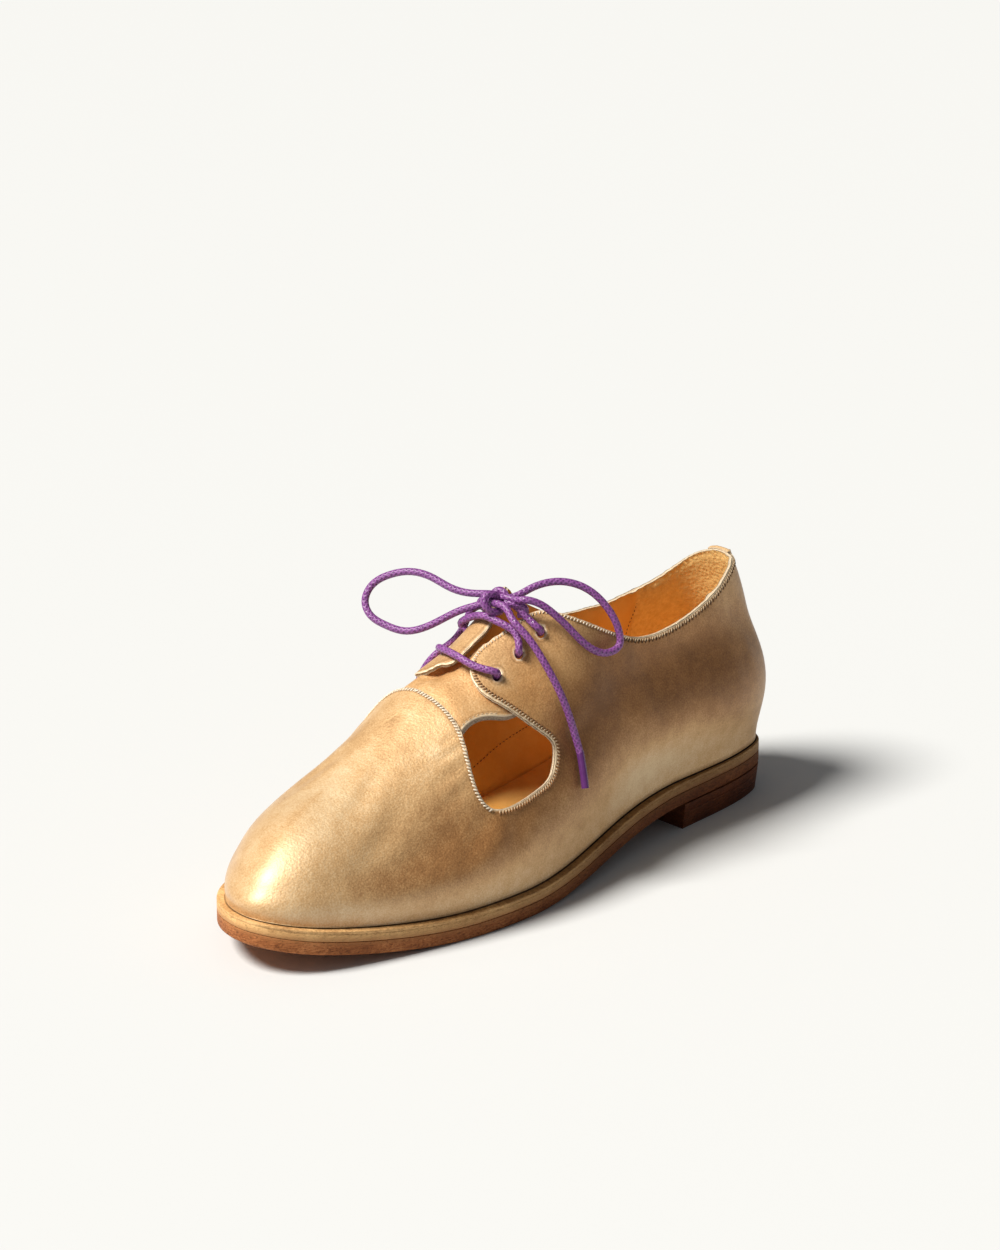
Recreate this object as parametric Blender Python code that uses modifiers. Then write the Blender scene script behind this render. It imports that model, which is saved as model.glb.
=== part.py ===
# Derby shoe with open sides, for the left foot.
# Metres, +Z up. The toe points along -Y, the outer side of the foot is +X, the floor is z = 0.
# Every curved piece is read from one last: a surface worked out from an outline table and a
# ridge table. "turn" runs from the middle of the heel (0) to the tip of the toe (1), and "drop"
# runs from the ridge (0) down to the edge of the sole, 1 on the outer and -1 on the inner side.

import bmesh
import bpy
import numpy as np
from mathutils.geometry import delaunay_2d_cdt

# Driving dimensions
SOLE_LENGTH = 0.265
HEEL_BLOCK_HEIGHT = 0.0107
OUTSOLE_THICKNESS = 0.0052
MIDSOLE_THICKNESS = 0.0043
INSOLE_THICKNESS = 0.0025
TOE_SPRING = 0.0114
TOE_SWING = 0.0047
SEAT_END = 0.219
TREAD_START = 0.59
TREAD_END = 0.69
SPRING_POWER = 1.8
HEEL_TAPER = 0.0012
WELT_AT_HEEL = 0.0014
WELT_AT_FOREFOOT = 0.0032
WALL = 0.0020
TONGUE_THICKNESS = 0.0016
GAP = 0.0003
WALL_GAP = 0.0004
LACE_RADIUS = 0.0014
TIP_RADIUS = 0.0015
LACE_HOLE_RADIUS = 0.0021
RIDGE_START = 0.046
RIDGE_END = 0.217
BULGE_TOP = 0.34
TOE_SEAM_END = 0.03

# Outline of the sole: share of the length from the heel, half width on the outer and inner side
OUTLINE_COLUMNS = ("share", "outer", "inner")
OUTLINE = (
    (0.00, 0.0000, 0.0000),
    (0.02, 0.0182, 0.0175),
    (0.05, 0.0229, 0.0235),
    (0.10, 0.0261, 0.0270),
    (0.17, 0.0281, 0.0290),
    (0.25, 0.0300, 0.0285),
    (0.35, 0.0340, 0.0270),
    (0.45, 0.0400, 0.0280),
    (0.55, 0.0450, 0.0315),
    (0.62, 0.0460, 0.0365),
    (0.70, 0.0440, 0.0415),
    (0.80, 0.0375, 0.0425),
    (0.90, 0.0280, 0.0345),
    (0.95, 0.0210, 0.0250),
    (0.98, 0.0135, 0.0160),
    (1.00, 0.0000, 0.0000),
)

# Ridge of the last: height over the floor, shift to the inner side, fullness of each flank and
# bulge of the wall over the welt
RIDGE_COLUMNS = ("share", "height", "shift", "full_outer", "full_inner", "bulge")
RIDGE = (
    (0.00, 0.1250, 0.0000, 0.035, 0.035, 0.0046),
    (0.15, 0.1250, 0.0000, 0.055, 0.055, 0.0060),
    (0.30, 0.1210, 0.0020, 0.055, 0.055, 0.0044),
    (0.42, 0.1100, 0.0045, 0.035, 0.035, 0.0030),
    (0.52, 0.0945, 0.0055, 0.000, 0.000, 0.0030),
    (0.62, 0.0795, 0.0055, 0.030, 0.055, 0.0030),
    (0.72, 0.0640, 0.0040, 0.015, 0.010, 0.0030),
    (0.82, 0.0530, 0.0025, 0.025, 0.025, 0.0025),
    (0.90, 0.0480, 0.0010, 0.045, 0.050, 0.0010),
    (1.00, 0.0365, 0.0000, 0.050, 0.050, 0.0010),
)

# Cut edge of the upper, in (turn, drop), from the middle of the vamp to the middle of the heel
VAMP_EDGE = ((0.632, 0.0), (0.614, 0.176), (0.606, 0.33), (0.607, 0.48), (0.605, 0.584))
WINDOW_EDGE = (
    (0.594, 0.665),
    (0.573, 0.701),
    (0.531, 0.712),
    (0.507, 0.698),
    (0.499, 0.654),
    (0.508, 0.583),
    (0.533, 0.459),
)
OUTER_FACING_EDGE = (
    (0.550, 0.369),
    (0.565, 0.262),
    (0.565, 0.174),
    (0.553, 0.125),
    (0.532, 0.118),
    (0.506, 0.145),
    (0.479, 0.182),
    (0.460, 0.222),
    (0.448, 0.285),
)
INNER_FACING_EDGE = (
    (0.558, 0.360),
    (0.580, 0.230),
    (0.589, 0.110),
    (0.588, 0.030),
    (0.581, -0.035),
    (0.568, -0.066),
    (0.550, -0.070),
    (0.528, -0.073),
    (0.508, -0.068),
    (0.484, -0.020),
    (0.463, 0.070),
    (0.448, 0.190),
)
OUTER_COLLAR_EDGE = (
    (0.427, 0.409),
    (0.398, 0.525),
    (0.361, 0.603),
    (0.316, 0.626),
    (0.261, 0.610),
    (0.209, 0.581),
    (0.131, 0.530),
    (0.060, 0.511),
    (0.000, 0.517),
)
INNER_COLLAR_EDGE = (
    (0.430, 0.400),
    (0.398, 0.545),
    (0.355, 0.634),
    (0.314, 0.660),
    (0.270, 0.670),
    (0.232, 0.660),
    (0.187, 0.643),
    (0.124, 0.600),
    (0.053, 0.544),
    (0.000, 0.517),
)
OUTER_LACE_HOLES = ((0.538, 0.272), (0.502, 0.283), (0.470, 0.303))
INNER_LACE_HOLES = ((0.546, -0.190), (0.510, -0.200), (0.478, -0.220))

# Edge of the tongue, in (turn, drop), from under the vamp to its top end, which is longer on the outer side
TONGUE_FRONT_EDGE = (
    (0.668, 0.000),
    (0.664, 0.150),
    (0.650, 0.290),
    (0.620, 0.340),
    (0.595, 0.327),
    (0.564, 0.376),
)
OUTER_TONGUE_END = (
    (0.528, 0.455),
    (0.512, 0.450),
    (0.508, 0.380),
    (0.512, 0.260),
    (0.517, 0.150),
    (0.524, 0.095),
    (0.538, 0.076),
    (0.552, 0.066),
)
INNER_TONGUE_END = (
    (0.540, 0.430),
    (0.528, 0.415),
    (0.532, 0.330),
    (0.550, 0.220),
    (0.561, 0.100),
    (0.562, 0.000),
    (0.558, -0.045),
)

# Lace routes, chosen by hand
LOWER_BAR = (
    (0.0158, -0.0131, 0.0854),
    (0.0112, -0.0172, 0.0868),
    (0.0024, -0.0192, 0.0888),
    (-0.0088, -0.0182, 0.0898),
    (-0.0143, -0.0145, 0.0884),
)
MIDDLE_BAR = (
    (0.0160, -0.0022, 0.0910),
    (0.0143, -0.0008, 0.0940),
    (0.0105, -0.0003, 0.0974),
    (0.0058, -0.0016, 0.0991),
    (-0.0028, -0.0027, 0.1001),
    (-0.0094, -0.0033, 0.0976),
    (-0.0138, -0.0032, 0.0934),
)
NEAR_TOP = ((0.0160, 0.0089, 0.0961), (0.0118, 0.0074, 0.0994), (0.0066, 0.0061, 0.1034))
FAR_TOP = ((-0.0142, 0.0069, 0.0991), (-0.0096, 0.0070, 0.1027), (-0.0046, 0.0065, 0.1044))
NEAR_LOOP = (
    (0.0069, 0.0049, 0.1067),
    (0.0101, 0.0055, 0.1075),
    (0.0143, 0.0093, 0.1063),
    (0.0183, 0.0136, 0.1020),
    (0.0222, 0.0182, 0.0958),
    (0.0255, 0.0221, 0.0902),
    (0.0276, 0.0275, 0.0858),
    (0.0281, 0.0330, 0.0842),
    (0.0281, 0.0384, 0.0857),
    (0.0272, 0.0389, 0.0912),
    (0.0240, 0.0369, 0.0989),
    (0.0183, 0.0325, 0.1062),
    (0.0111, 0.0239, 0.1102),
    (0.0054, 0.0139, 0.1084),
    (0.0035, 0.0099, 0.1065),
)
FAR_LOOP = (
    (-0.0049, 0.0032, 0.1064),
    (-0.0131, 0.0000, 0.1054),
    (-0.0204, -0.0026, 0.1063),
    (-0.0292, -0.0045, 0.1088),
    (-0.0371, -0.0074, 0.1094),
    (-0.0438, -0.0113, 0.1074),
    (-0.0488, -0.0160, 0.1031),
    (-0.0490, -0.0194, 0.0975),
    (-0.0453, -0.0204, 0.0934),
    (-0.0384, -0.0191, 0.0908),
    (-0.0303, -0.0165, 0.0899),
    (-0.0206, -0.0102, 0.0941),
    (-0.0135, -0.0046, 0.0993),
    (-0.0043, 0.0014, 0.1036),
)
NEAR_END = (
    (0.0056, 0.0006, 0.1053),
    (0.0101, -0.0011, 0.1034),
    (0.0175, -0.0006, 0.0976),
    (0.0241, 0.0012, 0.0899),
    (0.0289, 0.0032, 0.0816),
    (0.0324, 0.0055, 0.0724),
    (0.0348, 0.0079, 0.0616),
    (0.0371, 0.0090, 0.0530),
)
NEAR_TIP = ((0.0373, 0.0089, 0.0525), (0.0399, 0.0082, 0.0446), (0.0412, 0.0076, 0.0407))
FAR_END = (
    (-0.0025, 0.0017, 0.1005),
    (-0.0076, 0.0031, 0.1015),
    (-0.0133, 0.0021, 0.0995),
    (-0.0163, 0.0000, 0.0924),
    (-0.0175, -0.0043, 0.0869),
    (-0.0184, -0.0091, 0.0843),
    (-0.0200, -0.0127, 0.0811),
    (-0.0228, -0.0147, 0.0754),
    (-0.0252, -0.0154, 0.0680),
    (-0.0269, -0.0147, 0.0602),
    (-0.0279, -0.0142, 0.0544),
)
FAR_TIP = ((-0.0280, -0.0141, 0.0539), (-0.0294, -0.0132, 0.0463), (-0.0305, -0.0127, 0.0426))
KNOT_CENTRE = (0.0010, 0.0047, 0.1052)
KNOT_HALF_SIZE = (0.0055, 0.0055, 0.0042)

# How finely the pieces are divided
PLATE_STATIONS = 56
HEEL_STATIONS = 22
SHEET_TURNS = 46
SHEET_DROPS = 25
EDGE_STEP = 0.0045
HOLE_SIDES = 8
LACE_STEP = 0.0062
TURN_SPAN = 0.30
DROP_SPAN = 0.085


# Curves through tables

def spline(places, values):
    """Natural cubic curve through the values at the given places."""
    places = np.asarray(places, float)
    values = np.asarray(values, float)
    count = len(places)
    step = np.diff(places)
    rows = np.zeros((count, count))
    right = np.zeros((count,) + values.shape[1:])
    rows[0, 0] = 1.0
    rows[-1, -1] = 1.0
    slope = np.diff(values, axis=0) / step.reshape((-1,) + (1,) * (values.ndim - 1))
    for i in range(1, count - 1):
        rows[i, i - 1:i + 2] = step[i - 1], 2.0 * (step[i - 1] + step[i]), step[i]
        right[i] = 3.0 * (slope[i] - slope[i - 1])
    bend = np.linalg.solve(rows, right)

    def curve(where):
        where = np.asarray(where, float)
        i = np.clip(np.searchsorted(places, where) - 1, 0, count - 2)
        shape = where.shape + (1,) * (values.ndim - 1)
        t = (where - places[i]).reshape(shape)
        h = step[i].reshape(shape)
        first = slope[i] - h * (2.0 * bend[i] + bend[i + 1]) / 3.0
        third = (bend[i + 1] - bend[i]) / (3.0 * h)
        return values[i] + first * t + bend[i] * t ** 2 + third * t ** 3

    return curve


def route(points, step):
    """Points about one step apart on a smooth curve through the given points."""
    points = np.asarray(points, float)
    length = np.concatenate(([0.0], np.cumsum(np.linalg.norm(np.diff(points, axis=0), axis=1))))
    count = max(3, int(round(length[-1] / step)) + 1)
    return spline(length, points)(np.linspace(0.0, length[-1], count))


def column(table, columns, name):
    return np.array([row[columns.index(name)] for row in table])


def ease(share):
    share = np.clip(share, 0.0, 1.0)
    return share * share * (3.0 - 2.0 * share)


# The last

outline_share = column(OUTLINE, OUTLINE_COLUMNS, "share")
outline_turn = np.arccos(1.0 - 2.0 * outline_share) / np.pi
half_width = {
    1: spline(outline_turn, column(OUTLINE, OUTLINE_COLUMNS, "outer")),
    -1: spline(outline_turn, column(OUTLINE, OUTLINE_COLUMNS, "inner")),
}
ridge_share = column(RIDGE, RIDGE_COLUMNS, "share")
ridge = {name: spline(ridge_share, column(RIDGE, RIDGE_COLUMNS, name)) for name in RIDGE_COLUMNS[1:]}


def station(turn):
    """Distance from the back of the heel along the sole."""
    return SOLE_LENGTH * (1.0 - np.cos(np.pi * turn)) / 2.0


def sole_bottom(along):
    """Height of the underside of the outsole: seat, waist, flat tread and toe spring."""
    share = along / SOLE_LENGTH
    waist = HEEL_BLOCK_HEIGHT * (1.0 - ease((share - SEAT_END) / (TREAD_START - SEAT_END)))
    toe = np.clip((share - TREAD_END) / (1.0 - TREAD_END), 0.0, 1.0)
    return waist + TOE_SPRING * toe ** SPRING_POWER


def sole_top(along):
    return sole_bottom(along) + OUTSOLE_THICKNESS + MIDSOLE_THICKNESS


def welt_edge(turn, side):
    """Across and along place of the edge of the sole."""
    along = station(turn)
    swing = TOE_SWING * np.clip((along / SOLE_LENGTH - 0.6) / 0.4, 0.0, 1.0) ** 2
    return side * half_width[side](turn) + swing, along


def inset_edge(turn, side, inset):
    """Edge of the sole moved inwards, with its outward direction."""
    turn = np.asarray(turn, float)
    near = 0.0004
    across, along = welt_edge(turn, side)
    across_0, along_0 = welt_edge(np.clip(turn - near, 0.0, 1.0), side)
    across_1, along_1 = welt_edge(np.clip(turn + near, 0.0, 1.0), side)
    length = np.hypot(across_1 - across_0, along_1 - along_0)
    out_across = side * (along_1 - along_0) / length
    out_along = -side * (across_1 - across_0) / length
    heel = turn <= near
    toe = turn >= 1.0 - near
    out_across = np.where(heel | toe, 0.0, out_across)
    out_along = np.where(heel, -1.0, np.where(toe, 1.0, out_along))
    return across - out_across * inset, along - out_along * inset, out_across, out_along


def welt_width(turn):
    return WELT_AT_HEEL + (WELT_AT_FOREFOOT - WELT_AT_HEEL) * ease((turn - 0.22) / 0.20)


def flank(turn, rise, side):
    """Point on one side of the last; rise runs from the welt (0) to the ridge (1)."""
    edge_across, edge_along, out_across, out_along = inset_edge(turn, side, welt_width(turn))
    share = station(turn) / SOLE_LENGTH
    ridge_along = RIDGE_START + (RIDGE_END - RIDGE_START) * share
    ridge_across = -ridge["shift"](ridge_along / SOLE_LENGTH)
    full = ridge["full_outer" if side > 0 else "full_inner"](share) * np.sin(np.pi * rise) ** 2
    reach = np.cos(np.pi / 2.0 * rise) + full
    lift = np.sin(np.pi / 2.0 * rise) + full
    swell = np.where(rise < BULGE_TOP, np.sin(np.pi * rise / BULGE_TOP) ** 2, 0.0)
    swell = swell * ridge["bulge"](share)
    along = ridge_along + (edge_along - ridge_along) * reach + out_along * swell
    across = ridge_across + (edge_across - ridge_across) * reach + out_across * swell
    base = sole_top(along) + WALL_GAP
    height = base + (ridge["height"](along / SOLE_LENGTH) - base) * lift
    return np.stack([across, SOLE_LENGTH / 2.0 - along, height], axis=-1)


def last_point(turn, drop):
    turn = np.asarray(turn, float)
    drop = np.asarray(drop, float)
    rise = 1.0 - np.abs(drop)
    outer = flank(turn, rise, 1)
    inner = flank(turn, rise, -1)
    return np.where((drop >= 0.0)[..., None], outer, inner)


def last_normal(turn, drop):
    turn = np.asarray(turn, float)
    drop = np.asarray(drop, float)
    near = 0.002
    turn = np.clip(turn, near, 1.0 - near)
    drop = np.clip(drop, near - 1.0, 1.0 - near)
    forward = last_point(turn + near, drop) - last_point(turn - near, drop)
    down = last_point(turn, drop + near) - last_point(turn, drop - near)
    normal = np.cross(forward, down)
    return normal / np.linalg.norm(normal, axis=-1, keepdims=True)


def skin_point(turn, drop, depth):
    """Point that lies a given depth under the outside of the last."""
    return last_point(turn, drop) - depth * last_normal(turn, drop)


# Objects and materials

for old in list(bpy.data.objects):
    bpy.data.objects.remove(old, do_unlink=True)

shoe = bpy.data.collections.new("derby_shoe")
bpy.context.scene.collection.children.link(shoe)
carrier = bpy.data.objects.new("shoe_carrier", None)
shoe.objects.link(carrier)


def finish(name, colour, roughness):
    material = bpy.data.materials.new(name)
    material.use_nodes = True
    shader = material.node_tree.nodes["Principled BSDF"]
    shader.inputs["Base Color"].default_value = (*colour, 1.0)
    shader.inputs["Roughness"].default_value = roughness
    shader.inputs["Metallic"].default_value = 0.0
    return material


upper_leather = finish("upper_leather", (0.52, 0.35, 0.20), 0.38)
tongue_leather = finish("tongue_leather", (0.60, 0.38, 0.19), 0.45)
lining_leather = finish("lining_leather", (0.70, 0.38, 0.12), 0.60)
welt_leather = finish("welt_leather", (0.42, 0.25, 0.12), 0.55)
sole_leather = finish("sole_leather", (0.22, 0.09, 0.045), 0.60)
heel_leather = finish("heel_leather", (0.10, 0.035, 0.020), 0.55)
lace_cord = finish("lace_cord", (0.17, 0.05, 0.30), 0.50)
lace_tip = finish("lace_tip", (0.12, 0.04, 0.21), 0.30)


def add_object(name, data, material):
    data.materials.append(material)
    thing = bpy.data.objects.new(name, data)
    thing.parent = carrier
    shoe.objects.link(thing)
    return thing


def mesh_object(name, mesh, material, angle):
    """Close the seams of a bmesh and put it on an object."""
    bmesh.ops.remove_doubles(mesh, verts=mesh.verts, dist=0.00001)
    data = bpy.data.meshes.new(name)
    mesh.to_mesh(data)
    mesh.free()
    data.shade_smooth()
    data.set_sharp_from_angle(angle=angle)
    return add_object(name, data, material)


SHARP_ANGLE = 0.7


# Sole, heel and insole: plates with straight sections across the foot

def plate(name, material, turns, low, high, inset_low, inset_high):
    """Plate between two heights, its edge set in from the edge of the sole."""
    mesh = bmesh.new()
    sections = []
    for turn in turns:
        corners = []
        for side, height, inset in ((1, low, inset_low), (1, high, inset_high),
                                    (-1, high, inset_high), (-1, low, inset_low)):
            across, along, _, _ = inset_edge(turn, side, inset(turn))
            corners.append(mesh.verts.new((across, SOLE_LENGTH / 2.0 - along, height(along))))
        sections.append(corners)
    for first, second in zip(sections[:-1], sections[1:]):
        for i in range(4):
            j = (i + 1) % 4
            mesh.faces.new((first[i], first[j], second[j], second[i]))
    for corners in (sections[0], sections[-1]):
        if (corners[0].co - corners[3].co).length > 0.0005:
            mesh.faces.new(corners)
    bmesh.ops.remove_doubles(mesh, verts=mesh.verts, dist=0.00001)
    bmesh.ops.recalc_face_normals(mesh, faces=mesh.faces)
    return mesh_object(name, mesh, material, SHARP_ANGLE)


def flush(turn):
    return 0.0


def board_inset(turn):
    return welt_width(turn) + WALL + 2.0 * WALL_GAP


def heel_foot_inset(turn):
    return HEEL_TAPER


def floor_level(along):
    return 0.0 * along


def heel_top(along):
    return sole_bottom(along) - GAP


def outsole_top(along):
    return sole_bottom(along) + OUTSOLE_THICKNESS


def midsole_bottom(along):
    return outsole_top(along) + GAP


def insole_bottom(along):
    return sole_top(along) + GAP


def insole_top(along):
    return insole_bottom(along) + INSOLE_THICKNESS


whole_length = np.linspace(0.0, 1.0, PLATE_STATIONS)
breast_turn = np.arccos(1.0 - 2.0 * SEAT_END) / np.pi
seat_length = np.linspace(0.0, breast_turn, HEEL_STATIONS)
plate("heel", heel_leather, seat_length, floor_level, heel_top, heel_foot_inset, flush)
plate("outsole", sole_leather, whole_length, sole_bottom, outsole_top, flush, flush)
plate("midsole", welt_leather, whole_length, midsole_bottom, sole_top, flush, flush)
plate("insole", lining_leather, whole_length, insole_bottom, insole_top, board_inset, board_inset)


# Upper and tongue: the last's surface, trimmed to an outline and given a thickness

def flat(points):
    """Places on the last laid out flat, in metres."""
    return np.asarray(points, float) * (TURN_SPAN, DROP_SPAN)


def smooth_edge(points):
    return route(flat(points), EDGE_STEP) / (TURN_SPAN, DROP_SPAN)


def straight_edge(start, end):
    count = max(2, int(np.ceil(np.linalg.norm(np.diff(flat((start, end)), axis=0)) / EDGE_STEP)))
    return np.linspace(start, end, count + 1)


def inner_side(points):
    return np.asarray(points)[::-1] * (1.0, -1.0)


def hole_edge(turn, drop, radius):
    """Round hole of a true radius on the last."""
    near = 0.002
    forward = np.linalg.norm(last_point(turn + near, drop) - last_point(turn - near, drop))
    down = np.linalg.norm(last_point(turn, drop + near) - last_point(turn, drop - near))
    angle = np.linspace(0.0, 2.0 * np.pi, HOLE_SIDES, endpoint=False)
    reach = 2.0 * near * radius
    return np.stack([turn + np.cos(angle) * reach / forward, drop + np.sin(angle) * reach / down], -1)


def is_inside(points, loop):
    """Which points lie within a closed loop."""
    x, y = points[:, 0, None], points[:, 1, None]
    start, end = loop, np.roll(loop, -1, axis=0)
    crossing = (start[:, 1] > y) != (end[:, 1] > y)
    rise = np.where(end[:, 1] == start[:, 1], 1.0, end[:, 1] - start[:, 1])
    meet = start[:, 0] + (y - start[:, 1]) / rise * (end[:, 0] - start[:, 0])
    return (crossing & (x < meet)).sum(axis=1) % 2 == 1


def in_sheet(points, loops):
    inside = is_inside(points, loops[0])
    for hole in loops[1:]:
        inside &= ~is_inside(points, hole)
    return inside


def sheet(name, material, loops, depth, thickness):
    """Trimmed sheet of the last at a depth, thickened inwards."""
    loops = [flat(loop) for loop in loops]
    turns, drops = np.meshgrid(np.linspace(0.0, 1.0, SHEET_TURNS), np.linspace(-1.0, 1.0, SHEET_DROPS))
    grid = flat(np.stack([turns.ravel(), drops.ravel()], axis=-1))
    border = np.concatenate(loops)
    clearance = np.linalg.norm(grid[:, None] - border[None], axis=-1).min(axis=1)
    grid = grid[in_sheet(grid, loops) & (clearance > 0.6 * EDGE_STEP)]
    points = np.concatenate([border, grid])
    links = []
    start = 0
    for loop in loops:
        count = len(loop)
        links += [(start + i, start + (i + 1) % count) for i in range(count)]
        start += count
    found = delaunay_2d_cdt([tuple(p) for p in points], links, [], 0, 1e-7)
    places = np.array([tuple(p) for p in found[0]])
    triangles = np.array([tuple(f) for f in found[2]])
    triangles = triangles[in_sheet(places[triangles].mean(axis=1), loops)]
    edge_1 = places[triangles[:, 1]] - places[triangles[:, 0]]
    edge_2 = places[triangles[:, 2]] - places[triangles[:, 0]]
    area = edge_1[:, 0] * edge_2[:, 1] - edge_1[:, 1] * edge_2[:, 0]
    triangles[area < 0.0] = triangles[area < 0.0][:, ::-1]
    triangles = triangles[np.abs(area) > 1e-9]
    turn, drop = (places / (TURN_SPAN, DROP_SPAN)).T
    mesh = bmesh.new()
    corners = [mesh.verts.new(tuple(p)) for p in skin_point(turn, drop, depth)]
    for triangle in triangles:
        mesh.faces.new([corners[i] for i in triangle])
    thing = mesh_object(name, mesh, material, SHARP_ANGLE)
    wall = thing.modifiers.new("wall", "SOLIDIFY")
    wall.thickness = thickness
    wall.offset = -1.0
    return thing


outer_cut = smooth_edge(VAMP_EDGE + WINDOW_EDGE + OUTER_FACING_EDGE + OUTER_COLLAR_EDGE)
inner_cut = inner_side(smooth_edge(VAMP_EDGE + WINDOW_EDGE + INNER_FACING_EDGE + INNER_COLLAR_EDGE))
collar_back = OUTER_COLLAR_EDGE[-1][1]
upper_loop = np.concatenate([
    outer_cut[:-1],
    straight_edge((0.0, collar_back), (0.0, 1.0))[:-1],
    straight_edge((0.0, 1.0), (1.0, 1.0))[:-1],
    straight_edge((1.0, 1.0), (1.0, TOE_SEAM_END)),
    straight_edge((1.0, -TOE_SEAM_END), (1.0, -1.0))[:-1],
    straight_edge((1.0, -1.0), (0.0, -1.0))[:-1],
    straight_edge((0.0, -1.0), (0.0, -collar_back))[:-1],
    inner_cut[:-1],
])
lace_holes = [hole_edge(turn, drop, LACE_HOLE_RADIUS) for turn, drop in OUTER_LACE_HOLES + INNER_LACE_HOLES]
sheet("upper", upper_leather, [upper_loop] + lace_holes, 0.0, WALL)

outer_tongue = smooth_edge(TONGUE_FRONT_EDGE + OUTER_TONGUE_END)
inner_tongue = inner_side(smooth_edge(TONGUE_FRONT_EDGE + INNER_TONGUE_END))
tongue_loop = np.concatenate([outer_tongue, inner_tongue[:-1]])
sheet("tongue", tongue_leather, [tongue_loop], WALL + 2.0 * WALL_GAP, TONGUE_THICKNESS)


# Lace

def cord(name, material, points, radius):
    """Round cord along a smooth curve through the route's points."""
    data = bpy.data.curves.new(name, "CURVE")
    data.dimensions = "3D"
    data.bevel_depth = radius
    data.bevel_resolution = 2
    data.use_fill_caps = True
    places = route(points, LACE_STEP)
    line = data.splines.new("POLY")
    line.points.add(len(places) - 1)
    for point, place in zip(line.points, places):
        point.co = (*place, 1.0)
    return add_object(name, data, material)


def knot(name, material):
    """Round lump of the tied knot."""
    mesh = bmesh.new()
    bmesh.ops.create_uvsphere(mesh, u_segments=14, v_segments=8, radius=1.0)
    bmesh.ops.scale(mesh, vec=KNOT_HALF_SIZE, verts=mesh.verts)
    bmesh.ops.translate(mesh, vec=KNOT_CENTRE, verts=mesh.verts)
    return mesh_object(name, mesh, material, SHARP_ANGLE)


cord("lace_bar_lower", lace_cord, LOWER_BAR, LACE_RADIUS)
cord("lace_bar_middle", lace_cord, MIDDLE_BAR, LACE_RADIUS)
knot("lace_knot", lace_cord)
cord("lace_top_near", lace_cord, NEAR_TOP, LACE_RADIUS)
cord("lace_top_far", lace_cord, FAR_TOP, LACE_RADIUS)
cord("lace_loop_near", lace_cord, NEAR_LOOP, LACE_RADIUS)
cord("lace_loop_far", lace_cord, FAR_LOOP, LACE_RADIUS)
cord("lace_end_near", lace_cord, NEAR_END, LACE_RADIUS)
cord("lace_end_far", lace_cord, FAR_END, LACE_RADIUS)
cord("lace_tip_near", lace_tip, NEAR_TIP, TIP_RADIUS)
cord("lace_tip_far", lace_tip, FAR_TIP, TIP_RADIUS)


# The carrier puts the middle of the shoe's box, without the lace, over the origin

def plan_box(names):
    corners = []
    for name in names:
        corners += [vertex.co[:2] for vertex in bpy.data.objects[name].data.vertices]
    corners = np.array(corners)
    return corners.min(axis=0), corners.max(axis=0)


lowest, highest = plan_box(("heel", "outsole", "midsole", "insole", "upper", "tongue"))
carrier.location = (-(lowest[0] + highest[0]) / 2.0, -(lowest[1] + highest[1]) / 2.0, 0.0)
bpy.context.view_layer.update()
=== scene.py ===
# Dressed model of the derby shoe with open sides, left foot.
# Metres, +Z up, toe along -Y, outer side of the foot along +X.
import bmesh
import bpy
import numpy as np
from mathutils import Matrix, Vector
from mathutils.geometry import delaunay_2d_cdt
from mathutils.kdtree import KDTree


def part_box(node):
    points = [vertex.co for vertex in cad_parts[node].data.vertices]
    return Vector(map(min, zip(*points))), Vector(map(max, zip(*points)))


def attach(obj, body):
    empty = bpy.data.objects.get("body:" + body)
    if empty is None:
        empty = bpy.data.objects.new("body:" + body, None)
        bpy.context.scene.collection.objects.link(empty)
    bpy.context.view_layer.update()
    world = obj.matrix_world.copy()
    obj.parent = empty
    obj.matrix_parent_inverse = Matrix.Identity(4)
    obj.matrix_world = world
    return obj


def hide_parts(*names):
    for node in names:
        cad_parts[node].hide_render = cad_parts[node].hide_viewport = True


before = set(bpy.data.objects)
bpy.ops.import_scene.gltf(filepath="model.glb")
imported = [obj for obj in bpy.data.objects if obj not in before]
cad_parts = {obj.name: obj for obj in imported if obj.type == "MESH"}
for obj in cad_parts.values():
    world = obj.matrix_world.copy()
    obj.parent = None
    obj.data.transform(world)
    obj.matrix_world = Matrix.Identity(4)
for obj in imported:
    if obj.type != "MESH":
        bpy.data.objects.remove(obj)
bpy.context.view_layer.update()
print("frame loaded")

# The last, worked out from an outline table and a ridge table
last = {
    "soleLength": 0.265,
    "heelHeight": 0.0107,
    "outsoleThickness": 0.0052,
    "midsoleThickness": 0.0043,
    "toeSpring": 0.0114,
    "toeSwing": 0.0047,
    "swingStart": 0.6,
    "seatEnd": 0.219,
    "treadStart": 0.59,
    "treadEnd": 0.69,
    "springPower": 1.8,
    "weltAtHeel": 0.0014,
    "weltAtForefoot": 0.0032,
    "weltGrowStart": 0.22,
    "weltGrowSpan": 0.20,
    "ridgeStart": 0.046,
    "ridgeEnd": 0.217,
    "bulgeTop": 0.34,
    "wall": 0.0020,
    "wallGap": 0.0004,
}
outline = (  # share of the length, half width outside, half width inside
    (0.00, 0.0000, 0.0000),
    (0.02, 0.0182, 0.0175),
    (0.05, 0.0229, 0.0235),
    (0.10, 0.0261, 0.0270),
    (0.17, 0.0281, 0.0290),
    (0.25, 0.0300, 0.0285),
    (0.35, 0.0340, 0.0270),
    (0.45, 0.0400, 0.0280),
    (0.55, 0.0450, 0.0315),
    (0.62, 0.0460, 0.0365),
    (0.70, 0.0440, 0.0415),
    (0.80, 0.0375, 0.0425),
    (0.90, 0.0280, 0.0345),
    (0.95, 0.0210, 0.0250),
    (0.98, 0.0135, 0.0160),
    (1.00, 0.0000, 0.0000),
)
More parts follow.
